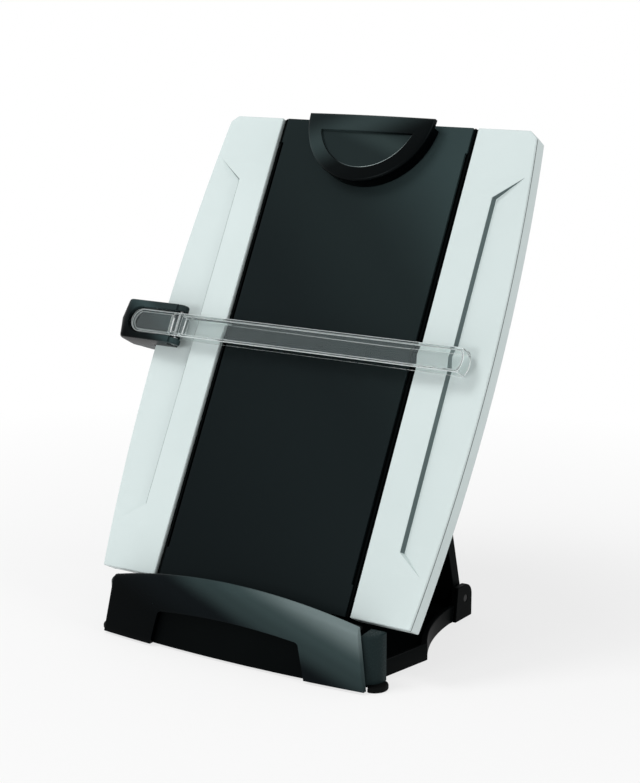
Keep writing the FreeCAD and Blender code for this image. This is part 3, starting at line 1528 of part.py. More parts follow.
def make_corner_post(label, side):
    """A half-round post that closes the gap between the fascia's end and the base's side."""
    body = new_body(label)
    radius, x, y = size("post_radius"), post_out() * side, -size("post_front")
    low, high = size("foot_high"), post_high()
    seam = size("fit_gap") * side
    layer(body, low, high - low, [[
        (x + seam, y - radius * side, radius), (x + seam, y + radius * side)]])
    bevel_edges(body, size("post_bevel"), lambda edge: is_curved(edge) and lies_at(edge, "z", high))
    return on_base(body)


def make_front_feet():
    """Two rounded rubber feet under the corner posts."""
    feet = []
    for side_of in (-1, 1):
        foot = doc.addObject("Part::Cylinder", "front_foot")
        foot.setExpression("Radius", (size("post_radius") + size("foot_lip")).formula)
        foot.setExpression("Height", (size("foot_high") - size("fit_gap")).formula)
        foot.Angle = 180
        turn = 90 if side_of < 0 else -90
        x = post_out() * side_of + size("fit_gap") * side_of
        foot.setExpression(
            "Placement",
            f"placement(vector({x.formula}; {(-size('post_front')).formula}; 0); "
            f"rotation(vector(0; 0; 1); {turn}))",
        )
        feet.append(foot)
    return carried("front_feet", feet, on_base)


def make_tilt_pin(label, side):
    half = size("knuckle_width") / 2 + size("side_gap") + size("bracket_thick")
    pivot_y, pivot_z = pivot_in_base()
    rod = doc.addObject("Part::Cylinder", label)
    rod.Label = label
    rod.setExpression("Radius", size("tilt_pin_radius").formula)
    rod.setExpression("Height", (half * 2).formula)
    start = size("knuckle_out") * side - half
    rod.setExpression(
        "Placement",
        f"placement(vector({start.formula}; {pivot_y.formula}; {pivot_z.formula}); "
        f"rotation(vector(0; 1; 0); 90))",
    )
    return on_base(rod)


# Screws

def screw(name, length):
    """A pan-head screw along +Z with its head below z = 0."""
    shank = doc.addObject("Part::Cylinder", f"{name}_shank")
    shank.setExpression("Radius", size("screw_radius").formula)
    shank.setExpression("Height", as_size(length).formula)
    head = doc.addObject("Part::Cylinder", f"{name}_head")
    head.setExpression("Radius", size("screw_head").formula)
    head.setExpression("Height", size("screw_head_high").formula)
    head.setExpression("Placement.Base.z", (-size("screw_head_high")).formula)
    whole = doc.addObject("Part::Fuse", name)
    whole.Base = shank
    whole.Tool = head
    return whole


def make_base_screws():
    """Two screws from below through the floor into the shelf's bosses."""
    screws = []
    rise = size("screw_head_high") + size("screw_seat") / 2
    for x, y in base_screw_places():
        one = screw("base_screw", size("base_screw_long"))
        one.setExpression(
            "Placement",
            f"placement(vector({x.formula}; {y.formula}; {rise.formula}); rotation(0; 0; 0))")
        screws.append(one)
    return carried("base_screws", screws, on_base)


def make_board_screws():
    """Four screws from the back through the shell into the wings' bosses."""
    screws = []
    length = size("shell_thick") + size("fit_gap") + size("board_screw_bite")
    for side in (-1, 1):
        x, y = board_screw_out() * side, size("board_depth")
        for up in screw_heights():
            one = screw("board_screw", length)
            one.setExpression(
                "Placement",
                f"placement(vector({x.formula}; {y.formula}; {up.formula}); "
                f"rotation(vector(1; 0; 0); 90))")
            screws.append(one)
    return carried("board_screws", screws, on_board)


make_base_tray()
make_front_fascia()
make_recess_panel()
make_paper_shelf()
make_corner_post("corner_post_left", -1)
make_corner_post("corner_post_right", 1)
make_front_feet()
make_rear_feet()
make_tilt_pin("tilt_pin_left", -1)
make_tilt_pin("tilt_pin_right", 1)
make_leg_rod()
make_base_screws()
make_board_shell()
make_centre_panel()
make_wing("wing_left", -1)
make_wing("wing_right", 1)
make_rack_rail("rack_rail_left", -1)
make_rack_rail("rack_rail_right", 1)
make_clip_mount()
make_clip_spring()
make_board_screws()
make_easel_leg()
make_leg_bar()
make_clip_jaw()
make_clip_pin()
make_clip_pad()
make_slider_front()
make_slider_back()
make_slider_shoe()
make_slider_pin()
make_slider_spring()
make_guide_bar()
doc.recompute()

# Checks, then one file for each sub-part

for item in doc.Objects:
    if "Invalid" in item.State or "Error" in item.State:
        raise RuntimeError(f"{item.Label} did not compute: {item.State}")
for piece in pieces:
    if piece.Shape.isNull() or not piece.Shape.isValid():
        raise RuntimeError(f"{piece.Label} has no valid shape")

os.makedirs("parts", exist_ok=True)
for piece in pieces:
    piece.Shape.exportStep(f"parts/{piece.Label}.step")
    box = piece.Shape.BoundBox
    print(f"{piece.Label}: {len(piece.Shape.Solids)} solid, {piece.Shape.Volume:.0f} mm3, "
          f"x {box.XMin:.1f} {box.XMax:.1f}, y {box.YMin:.1f} {box.YMax:.1f}, "
          f"z {box.ZMin:.1f} {box.ZMax:.1f}")
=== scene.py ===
# %% [markdown]
# # A copy holder with a line guide
# This lesson dresses a desk copy holder: a leaning board with two pale wings and a dark centre
# panel, a low glossy base, a half-round page clip and a clear bar that marks the line being read.
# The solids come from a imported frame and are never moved. What is added here is the surface that
# the eye meets: rounded edges, polished and satin plastic, clear acrylic, steel and rubber.

# %% Load the frame
import json
import math

import bmesh
import bpy
import numpy as np
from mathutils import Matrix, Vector


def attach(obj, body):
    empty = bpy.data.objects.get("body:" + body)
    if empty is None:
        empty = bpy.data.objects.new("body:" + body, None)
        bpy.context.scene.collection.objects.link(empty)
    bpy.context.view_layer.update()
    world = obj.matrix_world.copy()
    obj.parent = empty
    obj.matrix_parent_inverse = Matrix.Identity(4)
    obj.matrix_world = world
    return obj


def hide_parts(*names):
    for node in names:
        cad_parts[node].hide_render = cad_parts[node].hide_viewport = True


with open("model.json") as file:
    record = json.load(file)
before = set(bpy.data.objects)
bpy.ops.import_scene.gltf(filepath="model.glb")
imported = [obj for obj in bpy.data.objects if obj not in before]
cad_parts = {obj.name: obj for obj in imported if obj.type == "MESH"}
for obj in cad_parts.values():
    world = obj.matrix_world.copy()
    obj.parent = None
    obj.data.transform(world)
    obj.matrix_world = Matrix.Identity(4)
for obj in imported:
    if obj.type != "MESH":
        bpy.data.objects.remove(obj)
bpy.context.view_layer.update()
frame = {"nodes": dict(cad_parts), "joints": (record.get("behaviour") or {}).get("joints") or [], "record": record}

# %% [markdown]
# ## Two frames of reference
# The base stands upright, but the board leans. It is far easier to draw the board's pieces flat
# and lean them afterwards, so every board piece is worked out as across, depth and height along
# the board. The lean is read from the slider's joint, which runs straight up the board. All three
# measures are nought at the middle of the board's lower front edge.

# %% The board's own frame
MM = 0.001
EDGE_HEIGHT = 39.5
slide_axis = next(joint["axis"] for joint in frame["joints"] if joint["name"] == "guide_slide")
LEAN = math.atan2(slide_axis[1], slide_axis[2])
print("lean:", round(math.degrees(LEAN), 2), "degrees")


def board_to_row(points):
    """Millimetres across, behind and up the board, in metres in the frame.

    Depth and height are turned by the lean about the lower front edge, which is then lifted.
    """
    points = np.asarray(points, float)
    across, behind, up = points[..., 0], points[..., 1], points[..., 2]
    y = behind * math.cos(LEAN) + up * math.sin(LEAN)
    z = EDGE_HEIGHT - behind * math.sin(LEAN) + up * math.cos(LEAN)
    return np.stack([across, y, z], axis=-1) * MM


def upright(points):
    """Millimetres in the base's frame, in metres."""
    return np.asarray(points, float) * MM


# %% [markdown]
# ## Solids from sections
# Nearly every piece here could be cut from a block, as a modeller would do by hand. It is quicker
# to say what its outline is at one place and how that changes along the piece: rows of points go
# along it and columns go round it. The faces are then the same small pattern of four corners at
# each place, the last column meets the first, and a cap closes each end.

# %% Faces of a solid carried through sections
def tube_faces(rows, columns):
    """Corners of each quad round a tube: a point, its right neighbour, and the two above them."""
    row, column = np.meshgrid(np.arange(rows - 1), np.arange(columns), indexing="ij")
    after = (column + 1) % columns
    low, high = row * columns, (row + 1) * columns
    return np.stack([low + column, low + after, high + after, high + column], axis=-1).reshape(-1, 4)


def shell_of(sections):
    """Points and faces of a solid carried through closed sections, with both ends capped."""
    rows, columns = sections.shape[:2]
    caps = [list(range(columns)), list(range((rows - 1) * columns, rows * columns))]
    return sections, tube_faces(rows, columns).tolist() + caps


print("a tube of 3 rows and 8 columns has", len(tube_faces(3, 8)), "faces without its caps")

# %% [markdown]
# ## Meshes that are ready to light
# A fresh mesh has doubled points where sections meet, and its faces may point either way. Both
# show as dark seams, so each mesh is merged and turned outwards before anything else. Shading is
# smooth over the curves and stops at the real edges, which are told by their angle.

# %% Mesh helpers
MERGE = 1e-6


def mesh_piece(name, points, faces):
    """A new object with a mesh of these points in metres and these faces."""
    mesh = bpy.data.meshes.new(name)
    mesh.from_pydata(points.reshape(-1, 3).tolist(), [], [list(face) for face in faces])
    mesh.validate()
    piece = bpy.data.objects.new(name, mesh)
    bpy.context.scene.collection.objects.link(piece)
    return piece


def tidy_mesh(piece, merge=MERGE, flat_angle=None):
    """Merges doubles, joins faces that lie flat together, and turns every face outwards."""
    work = bmesh.new()
    work.from_mesh(piece.data)
    bmesh.ops.remove_doubles(work, verts=work.verts, dist=merge)
    if flat_angle is not None:
        bmesh.ops.dissolve_limit(work, angle_limit=flat_angle, verts=work.verts, edges=work.edges)
    bmesh.ops.recalc_face_normals(work, faces=work.faces)
    work.to_mesh(piece.data)
    work.free()


def shade(piece, sharp_degrees):
    """Smooth shading that stops at edges sharper than the angle."""
    piece.data.polygons.foreach_set("use_smooth", np.ones(len(piece.data.polygons), bool))
    piece.data.set_sharp_from_angle(angle=math.radians(sharp_degrees))


print("points closer than", MERGE, "m are merged")

# %% [markdown]
# ## Which solid belongs where
# The record of the imported part says which body each solid rides on and which slot its finish has.
# A piece that is built again here goes to the same body as the solid that it stands for, so
# that it moves as that solid did.

# %% Bodies and slots
SLOT_OF = {row["node"]: row["material_slot"] for row in frame["record"]["subparts"]}
BODY_OF = {node: body for body, members in frame["record"]["behaviour"]["bodies"].items()
           for node in members}


def settle(piece, body, material, replaced):
    """Gives a finished piece its material and its body, and hides the solids it stands for.

    Clearing the materials also forgets which face has which, so an empty list is left alone.
    """
    if piece.data.materials:
        piece.data.materials.clear()
    piece.data.materials.append(material)
    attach(piece, body)
    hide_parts(*replaced)
    return piece


# %% [markdown]
# ## Noise that sits in the plastic
# Real plastic is never one flat tone. Every finish here starts from noise read at Object
# coordinates, which for these pieces are metres in the frame, so the pattern stays in the piece
# when the board tilts. The noise is turned by the lean, so that it lies square to the board.

# %% Materials and noise
NOISE_LOW = 0.3
NOISE_HIGH = 0.7


def new_material(name):
    """A material with its nodes, its links and its main shader."""
    material = bpy.data.materials.new(name)
    material.use_nodes = True
    nodes, links = material.node_tree.nodes, material.node_tree.links
    return material, nodes, links, nodes["Principled BSDF"]


def object_noise(nodes, links, scale, detail=2.0, stretch=(1, 1, 1)):
    """Noise in object space: the place is scaled on each axis, then turned by the lean."""
    place = nodes.new("ShaderNodeTexCoord")
    turn = nodes.new("ShaderNodeMapping")
    turn.inputs["Scale"].default_value = stretch
    turn.inputs["Rotation"].default_value = (LEAN, 0, 0)
    noise = nodes.new("ShaderNodeTexNoise")
    noise.inputs["Scale"].default_value = scale
    noise.inputs["Detail"].default_value = detail
    links.new(place.outputs["Object"], turn.inputs["Vector"])
    links.new(turn.outputs["Vector"], noise.inputs["Vector"])
    return noise.outputs["Fac"]


def blend(nodes, links, share, stops):
    """Colours blended one into the next, each at its own share from nought to one."""
    ramp = nodes.new("ShaderNodeValToRGB")
    elements = ramp.color_ramp.elements
    elements[0].position, elements[-1].position = stops[0][0], stops[-1][0]
    for position, _ in stops[1:-1]:
        elements.new(position)
    for element, (_, colour) in zip(elements, stops):
        element.color = (*colour, 1)
    links.new(share, ramp.inputs["Fac"])
    return ramp


def between(nodes, links, noise, dark, light):
    """Two colours blended by a noise value, which mostly lies between 0.3 and 0.7."""
    return blend(nodes, links, noise, [(NOISE_LOW, dark), (NOISE_HIGH, light)]).outputs["Color"]


print("noise is read from", NOISE_LOW, "to", NOISE_HIGH)

# %% [markdown]
# ## Gloss and grain
# Two things tell plastics apart: how blurred a reflection is, and how coarse the surface is. Both
# wander a little on a real moulding. Roughness is therefore a span and not one value, and the same
# noise makes the bump, so that a rougher spot is also a rougher shape.

# %% Gloss and grain helpers
def roughness_between(nodes, links, noise, shader, low, high):
    """Roughness that wanders a little between two values."""
    span = nodes.new("ShaderNodeMapRange")
    span.inputs["To Min"].default_value = low
    span.inputs["To Max"].default_value = high
    links.new(noise, span.inputs["Value"])
    links.new(span.outputs["Result"], shader.inputs["Roughness"])


def bump_from(nodes, links, noise, shader, strength, depth):
    """Fine relief from a noise value, its depth in metres."""
    bump = nodes.new("ShaderNodeBump")
    bump.inputs["Strength"].default_value = strength
    bump.inputs["Distance"].default_value = depth
    links.new(noise, bump.inputs["Height"])
    links.new(bump.outputs["Normal"], shader.inputs["Normal"])


# Each grain: how fine its noise is, its depth in metres, and how strong its bump is.
GRAINS = {
    "lacquer": (2600, 0.00002, 0.12),
    "sheet": (1500, 0.00004, 0.15),
    "polished": (700, 0.00001, 0.03),
    "satin": (900, 0.00001, 0.04),
    "eroded": (1800, 0.00005, 0.2),
    "rubber": (1200, 0.00008, 0.4),
}
print("grains:", ", ".join(GRAINS))

# %% [markdown]
# ## Tone and painted reflection over a piece
# A plain moulding has one tone that drifts slowly. The large dark pieces also carry a painted
# reflection: a slow change from dark to light from one side to the other, as polished plastic
# shows in a studio. It could be left to lamps alone, but lamps that suit the pale wings leave
# black plastic flat, so the base colour itself is painted lighter along a line through the piece.
# The line is fixed in the piece and knows no camera.

# %% Tones and painted reflection
SLOW_SCALE = 14
TONE_WANDER = 0.06


def drifting(dark, light):
    """A tone between two colours that drifts with slow noise."""
    def tone(nodes, links):
        return between(nodes, links, object_noise(nodes, links, SLOW_SCALE), dark, light)
    return tone


# Painted reflection: a dark piece's colour is made lighter along a line, where light would be reflected.
def painted_reflection_along(direction, start, end, stops):
    """Painted reflection: a colour that changes along a direction, between two distances in millimetres.

    A point's share is its distance along the direction less the start, over the whole stretch,
    plus a little slow noise.
    """
    def tone(nodes, links):
        place = nodes.new("ShaderNodeTexCoord")
        along = nodes.new("ShaderNodeVectorMath")
        along.operation = "DOT_PRODUCT"
        along.inputs[1].default_value = Vector(direction).normalized()
        links.new(place.outputs["Object"], along.inputs[0])
        share = nodes.new("ShaderNodeMapRange")
        share.inputs["From Min"].default_value = start * MM
        share.inputs["From Max"].default_value = end * MM
        share.clamp = False
        links.new(along.outputs["Value"], share.inputs["Value"])
        drift = nodes.new("ShaderNodeMath")
        drift.operation = "MULTIPLY_ADD"
        drift.inputs[1].default_value = TONE_WANDER
        links.new(object_noise(nodes, links, SLOW_SCALE), drift.inputs[0])
        links.new(share.outputs["Result"], drift.inputs[2])
        ramp = blend(nodes, links, drift.outputs["Value"], stops)
        ramp.color_ramp.interpolation = "EASE"
        return ramp.outputs["Color"]
    return tone


print("tones wander by up to", TONE_WANDER)

# %% [markdown]
# ## Plastics
# All the moulded pieces are one kind of material with different numbers. The pale lacquer is a
# light base with a fine sparkle. The blacks reflect only a little, because the room around them is
# white and would turn them grey, and their reflections are slightly cool.

# %% The plastics
COOL_TINT = (0.82, 0.98, 1.0, 1)
GRAIN_DETAIL = 3


def plastic(name, tone, rough, grain, level):
    """Moulded plastic: a tone over the piece, wandering gloss and a fine grain in its bump."""
    material, nodes, links, shader = new_material(name)
    scale, depth, strength = GRAINS[grain]
    speckle = object_noise(nodes, links, scale, GRAIN_DETAIL)
    links.new(tone(nodes, links), shader.inputs["Base Color"])
    roughness_between(nodes, links, speckle, shader, *rough)
    bump_from(nodes, links, speckle, shader, strength, depth)
    shader.inputs["Specular IOR Level"].default_value = level
    shader.inputs["Specular Tint"].default_value = COOL_TINT
    return material


SILVER = plastic("silver_lacquer", drifting((0.618, 0.700, 0.693), (0.648, 0.730, 0.723)),
                 (0.34, 0.44), "lacquer", level=0.5)
SATIN = plastic("satin_black", drifting((0.0100, 0.0180, 0.0185), (0.0130, 0.0220, 0.0230)),
                (0.24, 0.30), "satin", level=0.05)
MOULDED = plastic("moulded_black", drifting((0.0010, 0.0014, 0.0015), (0.0018, 0.0024, 0.0025)),
                  (0.42, 0.55), "eroded", level=0.018)
RUBBER = plastic("black_rubber", drifting((0.0015, 0.0015, 0.0015), (0.003, 0.003, 0.003)),
                 (0.5, 0.7), "rubber", level=0.05)
print("plastics:", SILVER.name, SATIN.name, MOULDED.name, RUBBER.name)

# %% [markdown]
# ## The centre panel's painted sheen
# The panel is a large dark sheet with a dull sheen. Its colour carries a painted reflection: it
# is darkest at its lower left and painted lighter towards its upper right, along that line up
# the board.

# %% The panel's finish with painted sheen
PANEL_PAINTED_SHEEN = [
    (0.0, (0.0020, 0.0038, 0.0044)),
    (0.53, (0.0056, 0.0090, 0.0098)),
    (0.75, (0.0095, 0.0150, 0.0156)),
    (1.0, (0.0300, 0.0480, 0.0490)),
]
# Painted sheen: the panel's colour is painted lighter towards its upper right, where a reflection lies.
PANEL = plastic("panel_sheet_painted_sheen", painted_reflection_along((0.25, 0, 0.29), -20, 300, PANEL_PAINTED_SHEEN),
                (0.40, 0.50), "sheet", level=0.06)
print(PANEL.name, "has", len(PANEL_PAINTED_SHEEN), "tones")

# %% [markdown]
# ## Steel and felt
# Pins and bars are drawn steel, whose fine lines run along the rod. Lines could be painted on, but
# noise that is pulled out along the rod gives them at once. The leg's rod is blackened. The
# slider's shoe is felt, a matted and fully matt stuff with a faint sheen where its fibres stand up.

# %% Steel and felt finishes
LINE_SCALE = 900
LINE_STRETCH = (0.05, 1, 1)
LINE_DEPTH = 0.00002
FIBRE_SCALE = 1800
FIBRE_DETAIL = 6
FIBRE_DEPTH = 0.0002
FIBRE_SHEEN = 0.4


def steel_finish(name, dark, light):
    """Drawn steel: fine lines along the rod."""
    material, nodes, links, shader = new_material(name)
    lines = object_noise(nodes, links, LINE_SCALE, stretch=LINE_STRETCH)
    links.new(between(nodes, links, lines, dark, light), shader.inputs["Base Color"])
    shader.inputs["Metallic"].default_value = 1
    roughness_between(nodes, links, lines, shader, 0.2, 0.38)
    bump_from(nodes, links, lines, shader, 0.15, LINE_DEPTH)
    return material


def felt_finish():
    """Dark felt: matted fibres."""
    material, nodes, links, shader = new_material("dark_felt")
    fibres = object_noise(nodes, links, FIBRE_SCALE, FIBRE_DETAIL)
    tone = between(nodes, links, fibres, (0.03, 0.03, 0.03), (0.1, 0.1, 0.1))
    links.new(tone, shader.inputs["Base Color"])
    roughness_between(nodes, links, fibres, shader, 0.85, 1.0)
    bump_from(nodes, links, fibres, shader, 0.8, FIBRE_DEPTH)
    shader.inputs["Sheen Weight"].default_value = FIBRE_SHEEN
    return material


STEEL = steel_finish("drawn_steel", (0.42, 0.43, 0.44), (0.62, 0.63, 0.64))
DARK_STEEL = steel_finish("blackened_steel", (0.003, 0.0033, 0.0036), (0.006, 0.0064, 0.007))
FELT = felt_finish()
print("metals and felt:", STEEL.name, DARK_STEEL.name, FELT.name)

# %% [markdown]
# ## Clear acrylic
# The bar is clear, and it must bend what lies behind it, so it is true glass-like transmission and
# not a see-through blend. Light that enters a clear sheet leaves again at its narrow edges, which
# is why they look white. Tracing that would take many bounces, so the edges get a paler, partly
# milky finish of their own: a painted glow that stands in for that light.

# %% Acrylic finishes
ACRYLIC_INDEX = 1.49
HAZE_SCALE = 60
EDGE_HAZE_SCALE = 300
EDGE_CLEAR = 0.25


def acrylic_finish():
    """Clear acrylic: it bends light like the real one and is faintly green in its depth."""
    material, nodes, links, shader = new_material("clear_acrylic")
    haze = object_noise(nodes, links, HAZE_SCALE)
    tone = between(nodes, links, haze, (0.93, 0.97, 0.96), (0.97, 0.99, 0.985))
    links.new(tone, shader.inputs["Base Color"])
    shader.inputs["IOR"].default_value = ACRYLIC_INDEX
    shader.inputs["Transmission Weight"].default_value = 1
    shader.inputs["Specular Tint"].default_value = COOL_TINT
    shader.inputs["Roughness"].default_value = 0.0
    return material


def painted_glow_edge_finish():
    """The narrow rounds of an acrylic bar gather its light and look white."""
    # Painted glow: the pale, partly milky colour stands in for light that leaves the bar at its edges.
    material, nodes, links, shader = new_material("acrylic_edge")
    haze = object_noise(nodes, links, EDGE_HAZE_SCALE)
    tone = between(nodes, links, haze, (0.82, 0.90, 0.90), (0.95, 1.0, 1.0))
    links.new(tone, shader.inputs["Base Color"])
    shader.inputs["IOR"].default_value = ACRYLIC_INDEX
    shader.inputs["Transmission Weight"].default_value = EDGE_CLEAR
    roughness_between(nodes, links, haze, shader, 0.2, 0.3)
    return material


ACRYLIC = acrylic_finish()
ACRYLIC_EDGE = painted_glow_edge_finish()
print("acrylic:", ACRYLIC.name, ACRYLIC_EDGE.name)

# %% [markdown]
# ## Every solid gets its finish
# The record says which slot each solid belongs to, so one loop dresses them all. Pieces that are
# built again further on simply take over from the solid. Only the leg's rod differs from its slot:
# its ends show in the base's ears, where a bright dot would catch the eye.

# %% Dress the solids
FINISH = {
    "silver": SILVER, "panel_black": PANEL, "gloss_black": SATIN, "base_black": MOULDED,
    "shell_black": MOULDED, "rubber_black": RUBBER, "steel": STEEL, "felt": FELT, "clear": ACRYLIC,
}
for node, solid in frame["nodes"].items():
    solid.data.materials.clear()
    solid.data.materials.append(DARK_STEEL if node == "leg_rod" else FINISH[SLOT_OF[node]])
print(len(frame["nodes"]), "solids dressed")

# %% [markdown]
# ## Softened solids
# Moulded plastic never has a knife edge: the mould is rounded there, and that narrow round is what
# catches the light and makes an edge readable. A solid's mesh is left alone, so a copy is merged,
# its flat triangles are joined, and a small bevel rounds every edge. The feet are the roundest.

# %% Softened copies
SOLID_MERGE = 2e-6
FLAT = math.radians(0.8)
SOLID_SHARP = 35
BEVEL_SEGMENTS = 2
SOFT_WIDTH = {
    "base_tray": 0.5, "paper_shelf": 0.4, "recess_panel": 0.3, "front_feet": 1.1,
    "board_shell": 0.3, "centre_panel": 0.3, "easel_leg": 0.5, "rack_rail_left": 0.4,
    "rack_rail_right": 0.4, "clip_mount": 0.3, "slider_back": 0.25, "guide_bar": 0.4,
}


def softened(node, body, material, width):
    """A copy of a solid with its sharp edges rounded by a width in millimetres."""
    piece = bpy.data.objects.new(f"{node}_soft", frame["nodes"][node].data.copy())
    bpy.context.scene.collection.objects.link(piece)
    tidy_mesh(piece, SOLID_MERGE, FLAT)
    bevel = piece.modifiers.new("rounded edges", "BEVEL")
    bevel.width = width * MM
    bevel.segments = BEVEL_SEGMENTS
    bevel.limit_method = "ANGLE"
    bevel.angle_limit = math.radians(SOLID_SHARP)
    bevel.use_clamp_overlap = False
    bevel.harden_normals = False
    shade(piece, SOLID_SHARP)
    return settle(piece, body, material, [node])


soft_pieces = {node: softened(node, BODY_OF[node], FINISH[SLOT_OF[node]], width)
               for node, width in SOFT_WIDTH.items()}
print(len(soft_pieces), "solids softened")

# %% [markdown]
# ## The bar's white edges
# The clear bar's rounded edges are its brightest lines. The bevel that makes them can also give
# them a material of their own, so the second material, with its painted glow, goes to the bar's
# rounds alone.

# %% Light the bar's edges
bar = soft_pieces["guide_bar"]
bar.data.materials.append(ACRYLIC_EDGE)
bar.modifiers["rounded edges"].material = 1
print(bar.name, "has", len(bar.data.materials), "materials")

# %% [markdown]
# ## The wings
# Each wing is a lacquered moulding with a straight inner edge and a long bowed outer one. A sunk
# facet runs up it: a steep wall at its inner side, and a floor that rises to the outer edge. It
# could be cut from a plate, but a section carried up the board says it directly: the facet's wall
# slides out and its depth fades towards both tips, so they come to clean points.

# %% Wing sizes
BOARD_HIGH = 342.0
BOARD_DEEP = 13.5
WING_INNER = 80.0
WING_MID = 134.7
WING_BOW = 10.0
CORNER_CUT = 5.0
SHELL_SEAT = 2.7
RIM_WIDE = 2.5
EDGE_ROUND = 0.9
SIDE_GROOVE = (1.7, 2.5)
SIDE_GROOVE_DEEP = 0.5
WING_END = WING_MID - WING_BOW


def arc_radius(half, high):
    """Radius of an arc: its half width squared plus its height squared, over twice its height."""
    return (half ** 2 + high ** 2) / (2 * high)


BOW_RADIUS = arc_radius(BOARD_HIGH / 2, WING_BOW)
print("the wings bow on a radius of", round(BOW_RADIUS), "mm")

# %% [markdown]
# ## The wing's outline
# Seen from the front, the outer edge is a long shallow bow with a small straight cut at its upper
# corner. Both ends are rounded too, so the sections near them draw in along a quarter circle and
# stand closer together there than in the middle.

# %% Outline of a wing
ROUND_STEPS = np.linspace(0, math.pi / 2, 5)
HEIGHT_DIGITS = 6


def wing_edge(up):
    """Half width of the board, cut off straight at the upper corner.

    Below the cut it is the widest half less the square of the way from mid height, over twice the
    bow's radius. So shallow a bow can hardly be told from a circle.
    """
    bowed = WING_MID - (up - BOARD_HIGH / 2) ** 2 / (2 * BOW_RADIUS)
    shoulder = BOARD_HIGH - CORNER_CUT
    cut_at = WING_MID - (shoulder - BOARD_HIGH / 2) ** 2 / (2 * BOW_RADIUS)
    cut = cut_at - (up - shoulder) / CORNER_CUT * (cut_at - (WING_END - CORNER_CUT))
    return np.where(up > shoulder, cut, bowed)


def end_inset(up, high, radius):
    """How far the outline draws in near both ends: a quarter circle seen from the side."""
    away = np.minimum(up, high - up)
    short = np.clip(radius - away, 0, radius)
    return radius - np.sqrt(radius ** 2 - short ** 2)


def end_rows(high, radius, inner_rows):
    """Heights of the sections, with a few close together where the ends are rounded."""
    near = radius * (1 - np.cos(ROUND_STEPS))
    return np.unique(np.concatenate([near, inner_rows, high - near]).round(HEIGHT_DIGITS))


print("half width at the foot:", float(wing_edge(np.array(0.0)).round(2)), "mm")

# %% [markdown]
# ## The wing's section
# A section is a closed loop: round the inner edge, down the facet's wall with its small lip, up
# its floor to the outer edge, down the side with its groove, and back along the seat for the
# shell. Every corner is a quarter ellipse with the same few columns, so that each row of the grid
# has the same count, also where the facet has no depth and its corners shrink to nothing.

# %% Section of a wing
FACET_WALL_AT = 104.5
FACET_DEEP = 4.0
FACET_DRAFT = 0.8
FACET_TIP_AT = 124.5
FACET_LOW = 48.0
FACET_HIGH = 293.0
FACET_RUN = 15.5
FACET_LIP = 0.12
FACET_CLEAR = 4 * EDGE_ROUND


def corner(centre_x, centre_y, radius_x, radius_y, turn_from):
    """A quarter ellipse about a centre, one column for each step of the turn."""
    angle = turn_from + ROUND_STEPS
    across = centre_x[:, None] + radius_x[:, None] * np.cos(angle)
    behind = centre_y[:, None] + radius_y[:, None] * np.sin(angle)
    return np.stack([across, behind], axis=-1)


def straight(*points):
    """Single columns at points whose places may change from row to row."""
    return np.stack([np.stack(np.broadcast_arrays(x, y), axis=-1) for x, y in points], axis=1)


def wing_sections(up):
    """Closed section at each height: front with its facet, grooved side, back rim and seat.

    The facet's share goes from nought at its tips to one over its run. Its wall stands at the
    share's place between the tip line and the inner line, and is as deep as the share.
    """
    edge = wing_edge(up)
    inset = end_inset(up, BOARD_HIGH, EDGE_ROUND)
    share = np.clip(np.minimum(up - FACET_LOW, FACET_HIGH - up) / FACET_RUN + 1, 0, 1)
    wall_line = FACET_TIP_AT + (FACET_WALL_AT - FACET_TIP_AT) * share
    wall_at = np.minimum(wall_line, edge - FACET_CLEAR)
    deep = FACET_DEEP * share
    draft = FACET_DRAFT * share
    soft = np.full_like(up, EDGE_ROUND) - inset
    lip = FACET_LIP * deep
    outer = edge - inset
    inner = WING_INNER + inset
    front = inset
    back = BOARD_DEEP - inset
    groove_at = outer - SIDE_GROOVE_DEEP
    seat = BOARD_DEEP - SHELL_SEAT
    return np.concatenate([
        corner(inner + soft, front + soft, soft, soft, math.pi),
        corner(wall_at - draft - lip, front + lip, lip, lip, -math.pi / 2),
        corner(wall_at + draft + lip, front + deep - lip, -lip, lip, 0),
        corner(outer - soft, front + soft, soft, soft, -math.pi / 2),
        straight((outer, SIDE_GROOVE[0]), (groove_at, SIDE_GROOVE[0]), (groove_at, SIDE_GROOVE[1]),
                 (outer, SIDE_GROOVE[1])),
        corner(outer - soft, back - soft, soft, soft, 0),
        straight((edge - RIM_WIDE, back), (edge - RIM_WIDE, seat), (inner, seat)),
    ], axis=1)


print("a wing's section has", wing_sections(np.array([FACET_LOW])).shape[1], "points")

# %% [markdown]
# ## Painted shade on the wings
# The facet's wall, which stands almost upright, reads as a darker strip than the face, and so does
# the groove in the side. Lamps alone leave both too faint, so these faces take a darker lacquer:
# painted shade, where shade falls on them. The facet's lower end keeps the pale one. The left
# wing's wall is seen at a slant behind its lip, so there the lip is painted dark too. The grid's
# rows and columns say which faces these are, before any are merged.

# %% Make the wings
WING_SHARP = 32
WING_ROWS = np.linspace(6, 336, 56)
ROUND_COLUMNS = len(ROUND_STEPS)
WALL_COLUMN = ROUND_COLUMNS * 2 - 1
LIP_COLUMNS = ROUND_COLUMNS + np.arange(4)
GROOVE_COLUMNS = ROUND_COLUMNS * 4 + np.arange(3)
# Painted shade: a darker lacquer for the facet's wall, the side groove and the left wing's lip.
SILVER_PAINTED_SHADE = plastic(
    "silver_lacquer_painted_shade", drifting((0.095, 0.125, 0.125), (0.12, 0.155, 0.155)),
    (0.4, 0.5), "lacquer", level=0.2)


def painted_shade_faces(up, columns, side):
    """One for each face that takes the darker lacquer of painted shade, told by its row and column in the grid.

    The two caps come last, and they keep the pale lacquer.
    """
    row, column = np.divmod(np.arange((len(up) - 1) * columns), columns)
    above_end = up[row] >= FACET_LOW
    painted_shade = (column == WALL_COLUMN) & above_end
    painted_shade |= np.isin(column, GROOVE_COLUMNS)
    painted_shade |= (side < 0) & np.isin(column, LIP_COLUMNS) & above_end
    return np.append(painted_shade, [0, 0]).astype(np.int32)


